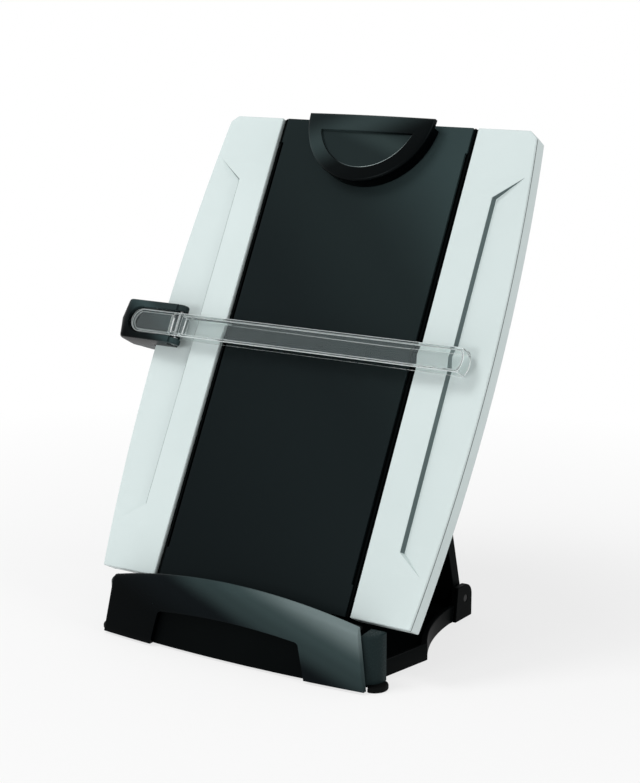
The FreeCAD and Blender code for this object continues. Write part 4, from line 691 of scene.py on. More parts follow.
def make_wing(side_name, side):
    """One wing: its sections up the board, mirrored for the left side."""
    keys = [FACET_LOW - FACET_RUN, FACET_LOW, FACET_HIGH, FACET_HIGH + FACET_RUN,
            BOARD_HIGH - CORNER_CUT]
    up = end_rows(BOARD_HIGH, EDGE_ROUND, np.concatenate([WING_ROWS, keys]))
    section = wing_sections(up)
    section[..., 0] *= side
    heights = np.broadcast_to(up[:, None, None], section[..., :1].shape)
    points, faces = shell_of(np.concatenate([section, heights], axis=-1))
    piece = mesh_piece(f"wing_{side_name}_lacquered", board_to_row(points), faces)
    # Faces that are painted with shade take the second, darker lacquer.
    painted_shade = painted_shade_faces(up, section.shape[1], side)
    piece.data.polygons.foreach_set("material_index", painted_shade)
    tidy_mesh(piece)
    shade(piece, WING_SHARP)
    settle(piece, "board", SILVER, [f"wing_{side_name}"])
    piece.data.materials.append(SILVER_PAINTED_SHADE)
    print(piece.name, len(piece.data.polygons), "faces")


make_wing("left", -1)
make_wing("right", 1)

# %% [markdown]
# ## The page clip
# The clip is a half-round cap with a scooped finger dish. Its rim is rolled over and its face is
# slightly domed, which spreads its reflection into one soft glow and not a flat sheet of light;
# that glow is also painted into its colour as a highlight. It is worked out as rings, each a
# straight top and an arc below, from the back edge round to the dish's middle.

# %% Outline of the clip
CLIP_HALF = 51.0
CLIP_TOP = 343.0
CLIP_BOTTOM = 293.4
CLIP_FRONT = -12.0
CLIP_SLAB_BACK = -6.4
ARC_POINTS = 97
TOP_POINTS = 34


def half_round(half, top, bottom):
    """A closed outline: round the arc from one end of the top to the other, then back along it."""
    radius = arc_radius(half, top - bottom)
    reach = math.atan2(half, bottom + radius - top)
    swing = np.linspace(-reach, reach, ARC_POINTS)
    arc = np.stack([radius * np.sin(swing), bottom + radius - radius * np.cos(swing)], axis=-1)
    straight_top = np.linspace([half, top], [-half, top], TOP_POINTS)[1:-1]
    return np.concatenate([arc, straight_top])


print("the clip's arc has a radius of", round(arc_radius(CLIP_HALF, CLIP_TOP - CLIP_BOTTOM), 1), "mm")

# %% [markdown]
# ## The finger dish
# A fingertip slides down the dish and catches under its top, so it is a ramp: deepest just under
# the straight top, shallow at its foot, and hollowed across like a spoon. The clip's whole face
# also falls back a little towards its two sides.

# %% Dish and dome
DISH_HALF = 37.2
DISH_TOP = 330.5
DISH_BOTTOM = 304.0
DISH_DEEP = 2.9
DISH_FOOT = 0.7
DISH_CURVE = 0.7
DISH_HOLLOW = 0.35
CLIP_DOME = 1.3


def scoop_depth(outline):
    """The dish is a ramp, deep under its top and shallow at its foot, hollowed across.

    The ramp grows as a power of the climb, and loses a share of the square of the way across.
    """
    climb = np.clip((outline[:, 1] - DISH_BOTTOM) / (DISH_TOP - DISH_BOTTOM), 0, 1)
    across = (outline[:, 0] / DISH_HALF) ** 2
    ramp = (DISH_DEEP - DISH_FOOT) * climb ** DISH_CURVE
    return DISH_FOOT + ramp * (1 - DISH_HOLLOW * across)


def domed(points):
    """Lets the clip's face fall back towards its two sides, as the square of the distance out."""
    fall = CLIP_DOME * (points[..., 0] / CLIP_HALF) ** 2
    ahead = np.clip((CLIP_SLAB_BACK - points[..., 1]) / (CLIP_SLAB_BACK - CLIP_FRONT), 0, 1)
    points[..., 1] += fall * ahead
    return points


print("the dish is up to", DISH_DEEP, "mm deep")

# %% [markdown]
# ## Rings of the clip's face
# From the back edge the rings climb the side, roll over the rim, cross the flat rim, turn over the
# dish's rounded lip and then shrink towards a point in the dish. They stand closest where the
# surface turns most.

# %% The clip's face
CLIP_ROLL = 2.2
ROLL_RINGS = 7
RIM_SHARES = (0.25, 0.5, 0.75)
DISH_LIP = 0.55
LIP_RINGS = 4
FLOOR_RINGS = 15
FLOOR_SPREAD = 1.3
DISH_MIDDLE = np.array([0.0, (DISH_TOP + DISH_BOTTOM) / 2 + 1])


def clip_rings():
    """Rings of (outline, depth): side, rolled rim, flat rim, the dish's lip and scooped floor."""
    rings = [(half_round(CLIP_HALF, CLIP_TOP, CLIP_BOTTOM), CLIP_SLAB_BACK)]
    for turn in np.linspace(0, math.pi / 2, ROLL_RINGS):
        inset = CLIP_ROLL * (1 - math.cos(turn))
        outline = half_round(CLIP_HALF - inset, CLIP_TOP - inset, CLIP_BOTTOM + inset)
        rings.append((outline, CLIP_FRONT + CLIP_ROLL * (1 - math.sin(turn))))
    dish = half_round(DISH_HALF, DISH_TOP, DISH_BOTTOM)
    rim = rings[-1][0]
    for share in RIM_SHARES:
        rings.append((rim + (dish - rim) * share, CLIP_FRONT))
    for turn in np.linspace(0, math.pi / 2, LIP_RINGS):
        inset = DISH_LIP * math.sin(turn) - DISH_LIP
        outline = half_round(DISH_HALF - inset, DISH_TOP - inset, DISH_BOTTOM + inset)
        rings.append((outline, CLIP_FRONT + DISH_LIP * (1 - math.cos(turn))))
    for share in np.linspace(0, 1, FLOOR_RINGS)[:-1] ** FLOOR_SPREAD:
        outline = dish + (DISH_MIDDLE - dish) * share
        rings.append((outline, CLIP_FRONT + scoop_depth(outline)))
    return rings


def clip_face():
    """The cap itself: the rings stacked into one grid, then domed."""
    rings = clip_rings()
    outlines = np.stack([outline for outline, depth in rings])
    across, up = outlines[..., 0], outlines[..., 1]
    behind = np.stack([np.broadcast_to(depth, across.shape[1:]) for outline, depth in rings])
    return shell_of(domed(np.stack([across, behind, up], axis=-1)))


print("the clip's face has", len(clip_rings()), "rings")

# %% [markdown]
# ## Behind the clip's face
# The cap is hollow. A thin skirt runs round its arc and stays open at the top, where it would hit
# the board as the clip opens, and two round-ended lugs hold the hinge pin. Each is a closed shell
# of its own that reaches a little into the cap.

# %% The clip's skirt and lugs
CLIP_WALL = 2.5
CLIP_REAR = 0.2
CLIP_OPEN_ABOVE = 337.4
SKIRT_LIP = 0.5
SKIRT_ROOT = CLIP_SLAB_BACK - 0.3
CLIP_HINGE = (-5.0, 336.0)
LUG_OUT = (24.3, 28.3)
LUG_ROUND = 3.2
LUG_ROOT = -9.4
LUG_POINTS = 17


def clip_skirt():
    """The wall behind the face: a rounded strip carried round the arc, open at the top."""
    radius = arc_radius(CLIP_HALF, CLIP_TOP - CLIP_BOTTOM)
    centre = CLIP_BOTTOM + radius
    reach = math.acos((centre - CLIP_OPEN_ABOVE) / radius)
    swing = np.linspace(-reach, reach, ARC_POINTS)[:, None]
    strip = np.array([[0, SKIRT_ROOT], [0, CLIP_REAR - SKIRT_LIP], [SKIRT_LIP, CLIP_REAR],
                      [CLIP_WALL - SKIRT_LIP, CLIP_REAR], [CLIP_WALL, CLIP_REAR - SKIRT_LIP],
                      [CLIP_WALL, SKIRT_ROOT]])
    out = radius - strip[:, 0]
    behind = np.broadcast_to(strip[:, 1], (len(swing), len(strip)))
    return shell_of(np.stack([out * np.sin(swing), behind, centre - out * np.cos(swing)], axis=-1))


def clip_lug(side):
    """A round-ended tab behind the face that holds the hinge pin."""
    turn = np.linspace(-math.pi / 2, math.pi / 2, LUG_POINTS)
    behind = CLIP_HINGE[0] + LUG_ROUND * np.cos(turn)
    up = CLIP_HINGE[1] + LUG_ROUND * np.sin(turn)
    behind = np.concatenate([[LUG_ROOT], behind, [LUG_ROOT]])
    up = np.concatenate([[up[0]], up, [up[-1]]])
    sections = [np.stack([np.full_like(up, out * side), behind, up], axis=-1) for out in LUG_OUT]
    return shell_of(np.stack(sections))


def joined(name, parts, to_row):
    """One object from several closed shells, each given as its points and its faces."""
    points, faces, count = [], [], 0
    for part_points, part_faces in parts:
        flat = part_points.reshape(-1, 3)
        points.append(flat)
        faces += [[corner_at + count for corner_at in face] for face in part_faces]
        count += len(flat)
    piece = mesh_piece(name, to_row(np.concatenate(points)), faces)
    tidy_mesh(piece)
    return piece


print("the lugs stand", LUG_OUT[0], "to", LUG_OUT[1], "mm out")

# %% [markdown]
# ## Three blacks on the clip, with painted light
# The clip is one moulding. Its face carries a painted highlight: a soft glow near its upper left,
# falling to almost black at its right end and foot. The dish has a painted glow that makes it a
# little lighter, and its rounded lip a thin painted highlight low on the right. Each is a black
# with light painted along a line, and the faces are told apart by how deep they lie behind the
# domed face and whether they are inside the dish's outline.

# %% Finishes of the clip with painted light
JET = (0.0003, 0.0006, 0.0008)
CLIP_GLOSS = (0.26, 0.32)
BLACK_LEVEL = 0.05
# Painted highlight on the clip's face: lighter near its upper left, almost black at its right end and foot.
CLIP_PAINTED_GLOW = [
    (0.0, JET),
    (0.2, (0.0010, 0.0017, 0.0019)),
    (0.65, (0.0270, 0.0410, 0.0415)),
    (1.0, (0.0080, 0.0125, 0.0130)),
]
# Painted glow in the dish: its colour is lighter across its middle.
DISH_PAINTED_GLOW = [
    (0.0, (0.0120, 0.0190, 0.0195)),
    (0.45, (0.0240, 0.0370, 0.0370)),
    (1.0, (0.0120, 0.0190, 0.0195)),
]
# Painted highlight: a thin bright line on the dish's lip, low on the right.
LIP_PAINTED_HIGHLIGHT = [
    (0.0, (0.0010, 0.0017, 0.0019)),
    (0.5, (0.1000, 0.1300, 0.1300)),
    (0.75, (0.4200, 0.5000, 0.4900)),
    (1.0, (0.1000, 0.1300, 0.1300)),
]
CLIP_BLACK = plastic("clip_black_painted_glow", painted_reflection_along((-1, 0, 2.2), 283, 333, CLIP_PAINTED_GLOW),
                     CLIP_GLOSS, "satin", BLACK_LEVEL)
DISH_BLACK = plastic("dish_black_painted_glow", painted_reflection_along((-0.3, 0, -1), -330, -310, DISH_PAINTED_GLOW),
                     CLIP_GLOSS, "satin", BLACK_LEVEL)
DISH_LIP_HIGHLIGHT = plastic("dish_lip_painted_highlight", painted_reflection_along((0.5, 0, -1), -292, -270, LIP_PAINTED_HIGHLIGHT),
                    CLIP_GLOSS, "satin", BLACK_LEVEL)
print("clip finishes:", CLIP_BLACK.name, DISH_BLACK.name, DISH_LIP_HIGHLIGHT.name)

# %% [markdown]
# ## Telling the dish from the face
# The finished mesh is already leaned back, so each face's middle is first turned back into the
# board's frame. The thin painted highlight on the lip stops a little below the dish's straight top.

# %% Find the dish's faces
PLAIN, ON_FLOOR, ON_LIP = 0, 1, 2
FLOOR_MARGIN = -0.2
LIP_MARGIN = DISH_LIP + 0.1
FLOOR_DEPTHS = (DISH_LIP + 0.05, DISH_DEEP + 0.5)
LIP_DEPTHS = (0.02, DISH_LIP)
LIP_BELOW_TOP = 2


def inside_dish(across, up, margin):
    """Whether a point lies within the dish's half-round outline, grown by a margin."""
    radius = arc_radius(DISH_HALF, DISH_TOP - DISH_BOTTOM)
    in_arc = np.hypot(across, up - DISH_BOTTOM - radius) < radius + margin
    return in_arc & (up < DISH_TOP + margin)


def dish_faces(piece):
    """For each face: whether it is plain, on the scooped floor or on the dish's rounded lip."""
    centres = np.empty(len(piece.data.polygons) * 3)
    piece.data.polygons.foreach_get("center", centres)
    across, y, z = centres.reshape(-1, 3).T / MM
    z = z - EDGE_HEIGHT
    behind = y * math.cos(LEAN) - z * math.sin(LEAN)
    up = y * math.sin(LEAN) + z * math.cos(LEAN)
    deep = behind - CLIP_FRONT - CLIP_DOME * (across / CLIP_HALF) ** 2
    on_floor = (deep > FLOOR_DEPTHS[0]) & (deep < FLOOR_DEPTHS[1])
    on_floor &= inside_dish(across, up, FLOOR_MARGIN)
    on_lip = (deep > LIP_DEPTHS[0]) & (deep < LIP_DEPTHS[1]) & (up < DISH_TOP - LIP_BELOW_TOP)
    on_lip &= inside_dish(across, up, LIP_MARGIN)
    return np.where(on_lip, ON_LIP, np.where(on_floor, ON_FLOOR, PLAIN)).astype(np.int32)


print("the dish's middle is inside its outline:", bool(inside_dish(*DISH_MIDDLE, FLOOR_MARGIN)))

# %% [markdown]
# ## Put the clip together
# The four shells become one object. Its faces are sorted by their place, and the sorting is
# written once the clip has its three materials.

# %% Make the clip
PIECE_SHARP = 40
clip = joined("clip_jaw_moulded", [clip_face(), clip_skirt(), clip_lug(-1), clip_lug(1)], board_to_row)
shade(clip, PIECE_SHARP)
clip_parts = dish_faces(clip)
settle(clip, "clip", CLIP_BLACK, ["clip_jaw"])
clip.data.materials.append(DISH_BLACK)
clip.data.materials.append(DISH_LIP_HIGHLIGHT)
clip.data.polygons.foreach_set("material_index", clip_parts)
print("clip:", len(clip.data.polygons), "faces,", int((clip_parts == ON_FLOOR).sum()), "on the dish")

# %% [markdown]
# ## The front of the base
# The fascia is bowed in plan, leans back and has an arched top that rolls away from the eye. Its
# window is open down to the table. Sections stand side by side across it: each runs up the front
# face from the window's edge, over the roll and down the back. Above the window they start higher.

# %% Fascia sizes
FASCIA_HALF = 105.6
FASCIA_DRAW = 7.0
FASCIA_LOW = 1.6
FASCIA_SIDE = 42.0
FASCIA_RISE = 12.0
FASCIA_FRONT = 29.9
FASCIA_BOW = 5.9
FASCIA_RAKE = math.radians(6.0)
FASCIA_THICK = 3.5
print("the fascia is", FASCIA_SIDE + FASCIA_RISE, "mm high at its crown")

# %% [markdown]
# ## Edges of the fascia
# Two edges bound every section: the window's edge below, which turns from a slanted side through a
# rounded corner into a flat arch, and the arched top above. The sides lean inwards, so a line that
# stands at one place at the foot meets those edges further in. Where it meets them has no short
# formula, so the height is found by going halfway to the edge again and again.

# %% Window and arch
WINDOW_LOW_HALF = 62.6
WINDOW_DRAW = 5.1
WINDOW_SIDE = 25.6
WINDOW_RISE = 3.3
WINDOW_ROUND = 4.0
MEET_STEPS = 40


def circle_drop(across, half, rise):
    """How far a shallow arc has fallen from its crown at a distance across.

    It is the radius, less the root of the radius squared less the distance squared.
    """
    radius = arc_radius(half, rise)
    return radius - np.sqrt(np.maximum(radius ** 2 - across ** 2, 0))


def window_edge(across):
    """Height of the window's edge: slanted sides, rounded corners and an arched top."""
    out = np.abs(across)
    top_half = WINDOW_LOW_HALF - WINDOW_DRAW
    inner = top_half - WINDOW_ROUND
    straight_high = WINDOW_SIDE - WINDOW_ROUND
    slant = FASCIA_LOW + (WINDOW_LOW_HALF - out) / WINDOW_DRAW * (straight_high - FASCIA_LOW)
    in_corner = np.clip(out - inner, 0, WINDOW_ROUND)
    rounded = straight_high + np.sqrt(WINDOW_ROUND ** 2 - in_corner ** 2)
    arched = WINDOW_SIDE + WINDOW_RISE - circle_drop(out, inner, WINDOW_RISE)
    edge = np.where(out > top_half, slant, np.where(out > inner, rounded, arched))
    return np.where(out > WINDOW_LOW_HALF, FASCIA_LOW, edge)


def fascia_top(across):
    """Height of the arched top: its crown, less the arc's fall."""
    return FASCIA_SIDE + FASCIA_RISE - circle_drop(across, FASCIA_HALF - FASCIA_DRAW, FASCIA_RISE)


def drawn_in(out, up):
    """The sides lean inwards, and every upright line between them leans in its share."""
    return out * (1 - FASCIA_DRAW / FASCIA_HALF * (up - FASCIA_LOW) / (FASCIA_SIDE - FASCIA_LOW))


def meets(edge, out, start):
    """Height at which a leaning line meets an edge that depends on its place across."""
    up = np.full_like(out, start)
    for _ in range(MEET_STEPS):
        up = 0.5 * up + 0.5 * edge(drawn_in(out, up))
    return up


print("the window is", round(float(window_edge(np.array(0.0))), 1), "mm high in the middle")

# %% [markdown]
# ## Section of the fascia
# The roll at the top is a quarter of an ellipse that stops a little short, so that a narrow flat
# is left at the back. The two ends of the fascia are eased by the same small radius as its foot.

# %% The fascia's sections
ROLL_HIGH = 7.0
ROLL_DEEP = 2.6
ROLL_TURN = math.pi / 2 * 0.86
ROLL_COLUMNS = 9
FRONT_COLUMNS = 10
EDGE_SOFT = 0.5
EDGE_STEP = EDGE_SOFT * 0.3


def fascia_sections(out):
    """Closed section at each place across: bottom edge, front, quarter-ellipse roll and back."""
    low = meets(window_edge, out, FASCIA_LOW)[:, None]
    high = meets(fascia_top, out, FASCIA_SIDE)[:, None]
    share = np.linspace(0, 1, FRONT_COLUMNS)[None, :]
    roll = np.linspace(0, ROLL_TURN, ROLL_COLUMNS)[None, 1:]
    roll_up = high - ROLL_HIGH + ROLL_HIGH * np.sin(roll) / math.sin(ROLL_TURN)
    roll_back = ROLL_DEEP * (1 - np.cos(roll)) / (1 - math.cos(ROLL_TURN))
    front_up = low + EDGE_SOFT + (high - ROLL_HIGH - low - EDGE_SOFT) * share
    up = np.concatenate([low, low + EDGE_STEP, front_up, roll_up, high, low], axis=1)
    setback = np.concatenate([
        np.full_like(low, EDGE_SOFT), np.full_like(low, EDGE_STEP), np.zeros_like(front_up),
        np.broadcast_to(roll_back, roll_up.shape), np.full_like(high, FASCIA_THICK),
        np.full_like(low, FASCIA_THICK)], axis=1)
    across = drawn_in(out[:, None], up)
    end = FASCIA_HALF - np.abs(out)[:, None]
    short = np.clip(EDGE_SOFT - end, 0, EDGE_SOFT)
    setback = np.maximum(setback, EDGE_SOFT - np.sqrt(EDGE_SOFT ** 2 - short ** 2))
    bow = circle_drop(across, FASCIA_HALF, FASCIA_BOW)
    behind = bow - FASCIA_FRONT + setback + up * math.tan(FASCIA_RAKE)
    return np.stack([across, behind, up], axis=-1)


print("a fascia's section has", fascia_sections(np.array([0.0])).shape[1], "points")

# %% [markdown]
# ## Where the sections stand
# The sections are spread evenly, but the window's slanted side and its corner need many more, and
# the rounded ends a few close together. All of them are mirrored, sorted and cleared of doubles.
# The polished black carries a painted reflection: black at the foot and painted lighter up the
# front, most of all towards the right end.

# %% Make the fascia
PLAIN_PLACES = np.linspace(0, 104, 56)
SIDE_MARGIN = 2
SIDE_PLACES = 60
PLACE_DIGITS = 4
# Painted reflection on the fascia: lighter up the front and towards the right end.
POLISHED_PAINTED_REFLECTION = [
    (0.0, JET),
    (0.4, (0.0032, 0.0047, 0.0058)),
    (0.6, (0.0260, 0.0410, 0.0420)),
    (0.72, (0.0360, 0.0560, 0.0570)),
    (0.97, (0.1600, 0.2050, 0.2060)),
]
POLISHED = plastic("polished_black_painted_reflection", painted_reflection_along((0.35, 0, 1), 0, 75, POLISHED_PAINTED_REFLECTION),
                   (0.20, 0.26), "polished", level=0.035)
near_end = FASCIA_HALF - EDGE_SOFT * (1 - np.cos(ROUND_STEPS))
near_side = np.linspace(WINDOW_LOW_HALF - WINDOW_DRAW - WINDOW_ROUND - SIDE_MARGIN,
                        WINDOW_LOW_HALF + SIDE_MARGIN, SIDE_PLACES)
places = np.concatenate([PLAIN_PLACES, near_side, near_end])
places = np.unique(np.concatenate([-places, places]).round(PLACE_DIGITS))
fascia_points, fascia_faces = shell_of(fascia_sections(places))
fascia = mesh_piece("front_fascia_rolled", upright(fascia_points), fascia_faces)
tidy_mesh(fascia)
shade(fascia, PIECE_SHARP)
settle(fascia, "base", POLISHED, ["front_fascia"])
print("fascia:", len(fascia.data.polygons), "faces")

# %% [markdown]
# ## The slider
# The slider's front is a pillow-edged block with a thumb recess that is open towards the page. Its
# outer end bulges. Sections are carried across it: each is a loop round the block that dips into
# the recess, and the recess starts as a half circle, so its width grows like a circle's chord.

# %% Section of the slider
SLIDER_LEFT = -159.5
SLIDER_RIGHT = -114.7
SLIDER_LOW = 162.0
SLIDER_TALL = 28.8
SLIDER_FRONT = -14.0
SLIDER_BACK = 3.0
SLIDER_OVER_BOARD = -0.4
BOARD_CLEAR = -136.2
SLIDER_ROUND = 5.0
SLIDER_EDGE = 1.6
THUMB_LOW = 166.2
THUMB_TALL = 20.0
THUMB_DEEP = 11.6
THUMB_LIP = 0.5
THUMB_START = SLIDER_LEFT + 5.0


def slider_sections(across):
    """Loop at each place: lower side, rounded front, dip into the recess, front and upper side."""
    short = np.clip(SLIDER_ROUND - (across - SLIDER_LEFT), 0, SLIDER_ROUND)
    front = SLIDER_FRONT + SLIDER_ROUND - np.sqrt(SLIDER_ROUND ** 2 - short ** 2)
    back = np.where(across < BOARD_CLEAR, SLIDER_BACK, SLIDER_OVER_BOARD)
    half = THUMB_TALL / 2
    chord = np.clip((THUMB_START + half - across) / half, 0, 1)
    width = half * np.sqrt(1 - chord ** 2)
    inside = across >= THUMB_START
    deep = np.where(inside, THUMB_DEEP, 0)
    lip = np.where(inside & (width > THUMB_LIP), THUMB_LIP, 0)
    middle = THUMB_LOW + half
    low, high = np.full_like(across, SLIDER_LOW), np.full_like(across, SLIDER_LOW + SLIDER_TALL)
    eased_in = SLIDER_EDGE * (1 - np.sin(ROUND_STEPS))
    eased_out = SLIDER_EDGE * (1 - np.cos(ROUND_STEPS))
    return np.concatenate([
        straight((back, low)),
        np.stack([front[:, None] + eased_in, low[:, None] + eased_out], axis=-1),
        straight((front, middle - width), (front + lip, middle - width + lip),
                 (front + deep, middle - width + lip), (front + deep, middle + width - lip),
                 (front + lip, middle + width - lip), (front, middle + width)),
        np.stack([front[:, None] + eased_out, high[:, None] - eased_in], axis=-1),
        straight((back, high)),
    ], axis=1)


print("a slider's section has", slider_sections(np.array([SLIDER_RIGHT])).shape[1], "points")

# %% [markdown]
# ## Block and ears
# Places stand close together at the rounded end and where the recess begins, and just before each
# sudden step there is one a hair away, which keeps the step upright. The bulge is greatest at half
# height and fades inwards. Two round ears above and below the thumb recess carry the bar's pin.

# %% The slider's block and ears
SLIDER_BULGE = 3.2
BULGE_FADE = 4.5
END_PLACES = 9
DIP_PLACES = 13
HAIR = 0.001
HINGE_AT = (-113.4, -8.0)
EAR_ROUND = 4.6
EAR_EASE = 0.7
EAR_POINTS = 21
EAR_ROOT = SLIDER_RIGHT - 4


def quarter_steps(count):
    """Shares from nought to one that start close together, as one less the cosine of a turn."""
    return 1 - np.cos(np.linspace(0, math.pi / 2, count))


def slider_block():
    """The block: its sections carried across, with the outer end bulged.

    The bulge is one less the square of the height from the middle, and fades in a straight line.
    """
    near_end = SLIDER_LEFT + SLIDER_ROUND * quarter_steps(END_PLACES)
    dip = THUMB_START + THUMB_TALL / 2 * quarter_steps(DIP_PLACES)
    step = [dip[0] - HAIR, BOARD_CLEAR - HAIR, BOARD_CLEAR, SLIDER_RIGHT]
    across = np.unique(np.concatenate([near_end, dip, step]).round(PLACE_DIGITS))
    loops = slider_sections(across)
    up = loops[..., 1]
    half_tall = SLIDER_TALL / 2
    fade = np.clip(1 - (across[:, None] - SLIDER_LEFT) / BULGE_FADE, 0, 1)
    bulge = SLIDER_BULGE * (1 - ((up - SLIDER_LOW - half_tall) / half_tall) ** 2) * fade
    return shell_of(np.stack([across[:, None] - bulge, loops[..., 0], up], axis=-1))


def slider_ear(low, high):
    """A round ear about the bar's hinge, with eased ends."""
    turn = np.linspace(-math.pi / 2, math.pi / 2, EAR_POINTS)
    rows = []
    for up, inset in ((low, EAR_EASE), (low + EAR_EASE, 0), (high - EAR_EASE, 0), (high, EAR_EASE)):
        radius = EAR_ROUND - inset
        across = np.concatenate([[EAR_ROOT], HINGE_AT[0] + radius * np.cos(turn), [EAR_ROOT]])
        behind = HINGE_AT[1] + np.concatenate([[-radius], radius * np.sin(turn), [radius]])
        rows.append(np.stack([across, behind, np.full_like(across, up)], axis=-1))
    return shell_of(np.stack(rows))


print("the ears are", round(THUMB_LOW - SLIDER_LOW, 1), "mm tall")

# %% [markdown]
# ## Put the slider together
# The block and its ears become one object in a black with a painted highlight: lightest along
# its upper front, falling to jet at its lower left.

# %% Make the slider's front
# Painted highlight on the slider: lighter along its upper front, jet at its lower left.
SLIDER_PAINTED_HIGHLIGHT = [
    (0.0, JET),
    (0.35, (0.0030, 0.0048, 0.0052)),
    (0.8, (0.0330, 0.0540, 0.0560)),
    (1.0, (0.0200, 0.0310, 0.0320)),
]
SLIDER_BLACK = plastic("slider_black_painted_highlight", painted_reflection_along((1, 0, 1.6), 80, 112, SLIDER_PAINTED_HIGHLIGHT),
                       (0.24, 0.30), "satin", BLACK_LEVEL)
slider = joined("slider_front_pillow", [
    slider_block(), slider_ear(SLIDER_LOW, THUMB_LOW),
    slider_ear(THUMB_LOW + THUMB_TALL, SLIDER_LOW + SLIDER_TALL)], board_to_row)
shade(slider, PIECE_SHARP)
settle(slider, BODY_OF["slider_front"], SLIDER_BLACK, ["slider_front"])
print("slider:", len(slider.data.polygons), "faces")

# %% [markdown]
# ## Corner posts
# Behind each end of the fascia stands a short curved wall. Seen from above it is a quarter of an
# ellipse, so it is lofted upwards from that plan, with a cap that is eased and slants a little.

# %% Make the posts
POST_INNER = 98.6
POST_OUTER = 109.4
POST_FRONT = -17.0
POST_TURN = -5.0
POST_BACK = -2.2
POST_LOW = 4.0
POST_HIGH = 37.0
POST_EASE = 1.4
POST_SLANT = 1.6
PLAN_POINTS = 17


def post_plan(inset):
    """Closed plan: quarter ellipse outside, straight back and inner side, drawn in by an inset."""
    turn = np.linspace(0, math.pi / 2, PLAN_POINTS)
    across = POST_INNER + (POST_OUTER - POST_INNER - inset) * np.sin(turn)
    behind = POST_TURN - (POST_TURN - POST_FRONT - inset) * np.cos(turn)
    across = np.concatenate([across, [POST_OUTER - inset, POST_INNER]])
    behind = np.concatenate([behind, [POST_BACK - inset, POST_BACK - inset]])
    return np.stack([across, behind], axis=-1)


def post_row(inset, below_top, side):
    """The plan at a depth below the cap. Near the cap it slants down towards the front."""
    plan = post_plan(inset)
    slant = POST_SLANT * (POST_BACK - plan[:, 1]) / (POST_BACK - POST_FRONT)
    at_cap = below_top <= POST_EASE
    up = np.maximum(POST_HIGH - below_top - slant * at_cap, POST_LOW)
    return np.stack([plan[:, 0] * side, plan[:, 1], up], axis=-1)


def make_post(side_name, side):
    """One post: the foot, then rows that draw in and climb along a quarter circle."""
    eases = POST_EASE * (1 - np.cos(ROUND_STEPS))
    depths = POST_EASE * (1 - np.sin(ROUND_STEPS))
    rows = [post_row(0, POST_HIGH - POST_LOW, side)]
    rows += [post_row(inset, below_top, side) for inset, below_top in zip(eases, depths)]
    points, faces = shell_of(np.stack(rows))
    piece = mesh_piece(f"corner_post_{side_name}_curved", upright(points), faces)
    tidy_mesh(piece)
    shade(piece, PIECE_SHARP)
    settle(piece, "base", SATIN, [f"corner_post_{side_name}"])
    print(piece.name, len(piece.data.polygons), "faces")


make_post("left", -1)
make_post("right", 1)

# %% [markdown]
# ## Camera
# A product photographer stands well back with a long lens. The camera looks at a point a little
# above the middle of the board, from the reader's right and slightly above. Its lens is given as a
# focal length in pixels of the finished picture, which is how such a lens is fitted to a photo.

# %% Camera
AZIMUTH = math.radians(33.47)
ELEVATION = math.radians(12.49)
DISTANCE = 1.2006
TARGET = Vector((0.0573, 0.0, 0.1858))
FOCAL_PIXELS = 1899.25
FRAME_HIGH = 783
SENSOR = 36.0

away = Vector((math.sin(AZIMUTH) * math.cos(ELEVATION), -math.cos(AZIMUTH) * math.cos(ELEVATION),
               math.sin(ELEVATION)))
lens = bpy.data.cameras.new("camera")
lens.sensor_fit = "VERTICAL"
lens.sensor_height = SENSOR
lens.lens = FOCAL_PIXELS * SENSOR / FRAME_HIGH
camera = bpy.data.objects.new("camera", lens)
camera.location = TARGET + away * DISTANCE
camera.rotation_euler = (-away).to_track_quat("-Z", "Y").to_euler()
bpy.context.scene.collection.objects.link(camera)
bpy.context.scene.camera = camera
print("lens:", round(lens.lens, 1), "mm")

# %% [markdown]
# ## Bright to the eye, dim as a lamp
# In a white studio the background is pure white, but if it also lit the object that strongly, the
# pale wings would burn out. So the floor and background are white to the camera, in reflections
# and through clear plastic, and dim for the rays that carry soft light.

# %% Seen or lit
DIRECT_RAYS = ("Is Camera Ray", "Is Glossy Ray", "Is Transmission Ray")


def seen_directly(nodes, links):
    """The largest of three tests: one for a direct ray, nought for rays that carry soft light."""
    path = nodes.new("ShaderNodeLightPath")
    seen = path.outputs[DIRECT_RAYS[0]]
    for ray in DIRECT_RAYS[1:]:
        either = nodes.new("ShaderNodeMath")
        either.operation = "MAXIMUM"
        links.new(seen, either.inputs[0])
        links.new(path.outputs[ray], either.inputs[1])
        seen = either.outputs["Value"]
    return seen


print("kinds of direct ray:", len(DIRECT_RAYS))

# %% [markdown]
# ## Floor
# Near the object the floor is partly a real surface, so it keeps a soft shadow. Further out it is
# plain white, so no line shows where it ends. The share of white grows with the distance from the
# middle of the floor.

# %% Floor
FLOOR_SIZE = 80.0
FLOOR_GREY = (0.9, 0.9, 0.9, 1)
FLOOR_ROUGH = 0.9
SHADOW_NEAR = 0.25
SHADOW_FAR = 0.75
WHITE_NEAR = 0.72
WHITE = (1, 1, 1, 1)


def white_share(nodes, links):
    """From the near share of white to all of it, as the distance grows from near to far.

    It is nought for the rays that carry soft light, so the floor never lights the object white.
    """
    place = nodes.new("ShaderNodeTexCoord")
    away = nodes.new("ShaderNodeVectorMath")
    away.operation = "LENGTH"
    links.new(place.outputs["Object"], away.inputs[0])
    white = nodes.new("ShaderNodeMapRange")
    white.inputs["From Min"].default_value = SHADOW_NEAR
    white.inputs["From Max"].default_value = SHADOW_FAR
    white.inputs["To Min"].default_value = WHITE_NEAR
    white.inputs["To Max"].default_value = 1.0
    links.new(away.outputs["Value"], white.inputs["Value"])
    share = nodes.new("ShaderNodeMath")
    share.operation = "MULTIPLY"
    links.new(white.outputs["Result"], share.inputs[0])
    links.new(seen_directly(nodes, links), share.inputs[1])
    return share.outputs["Value"]


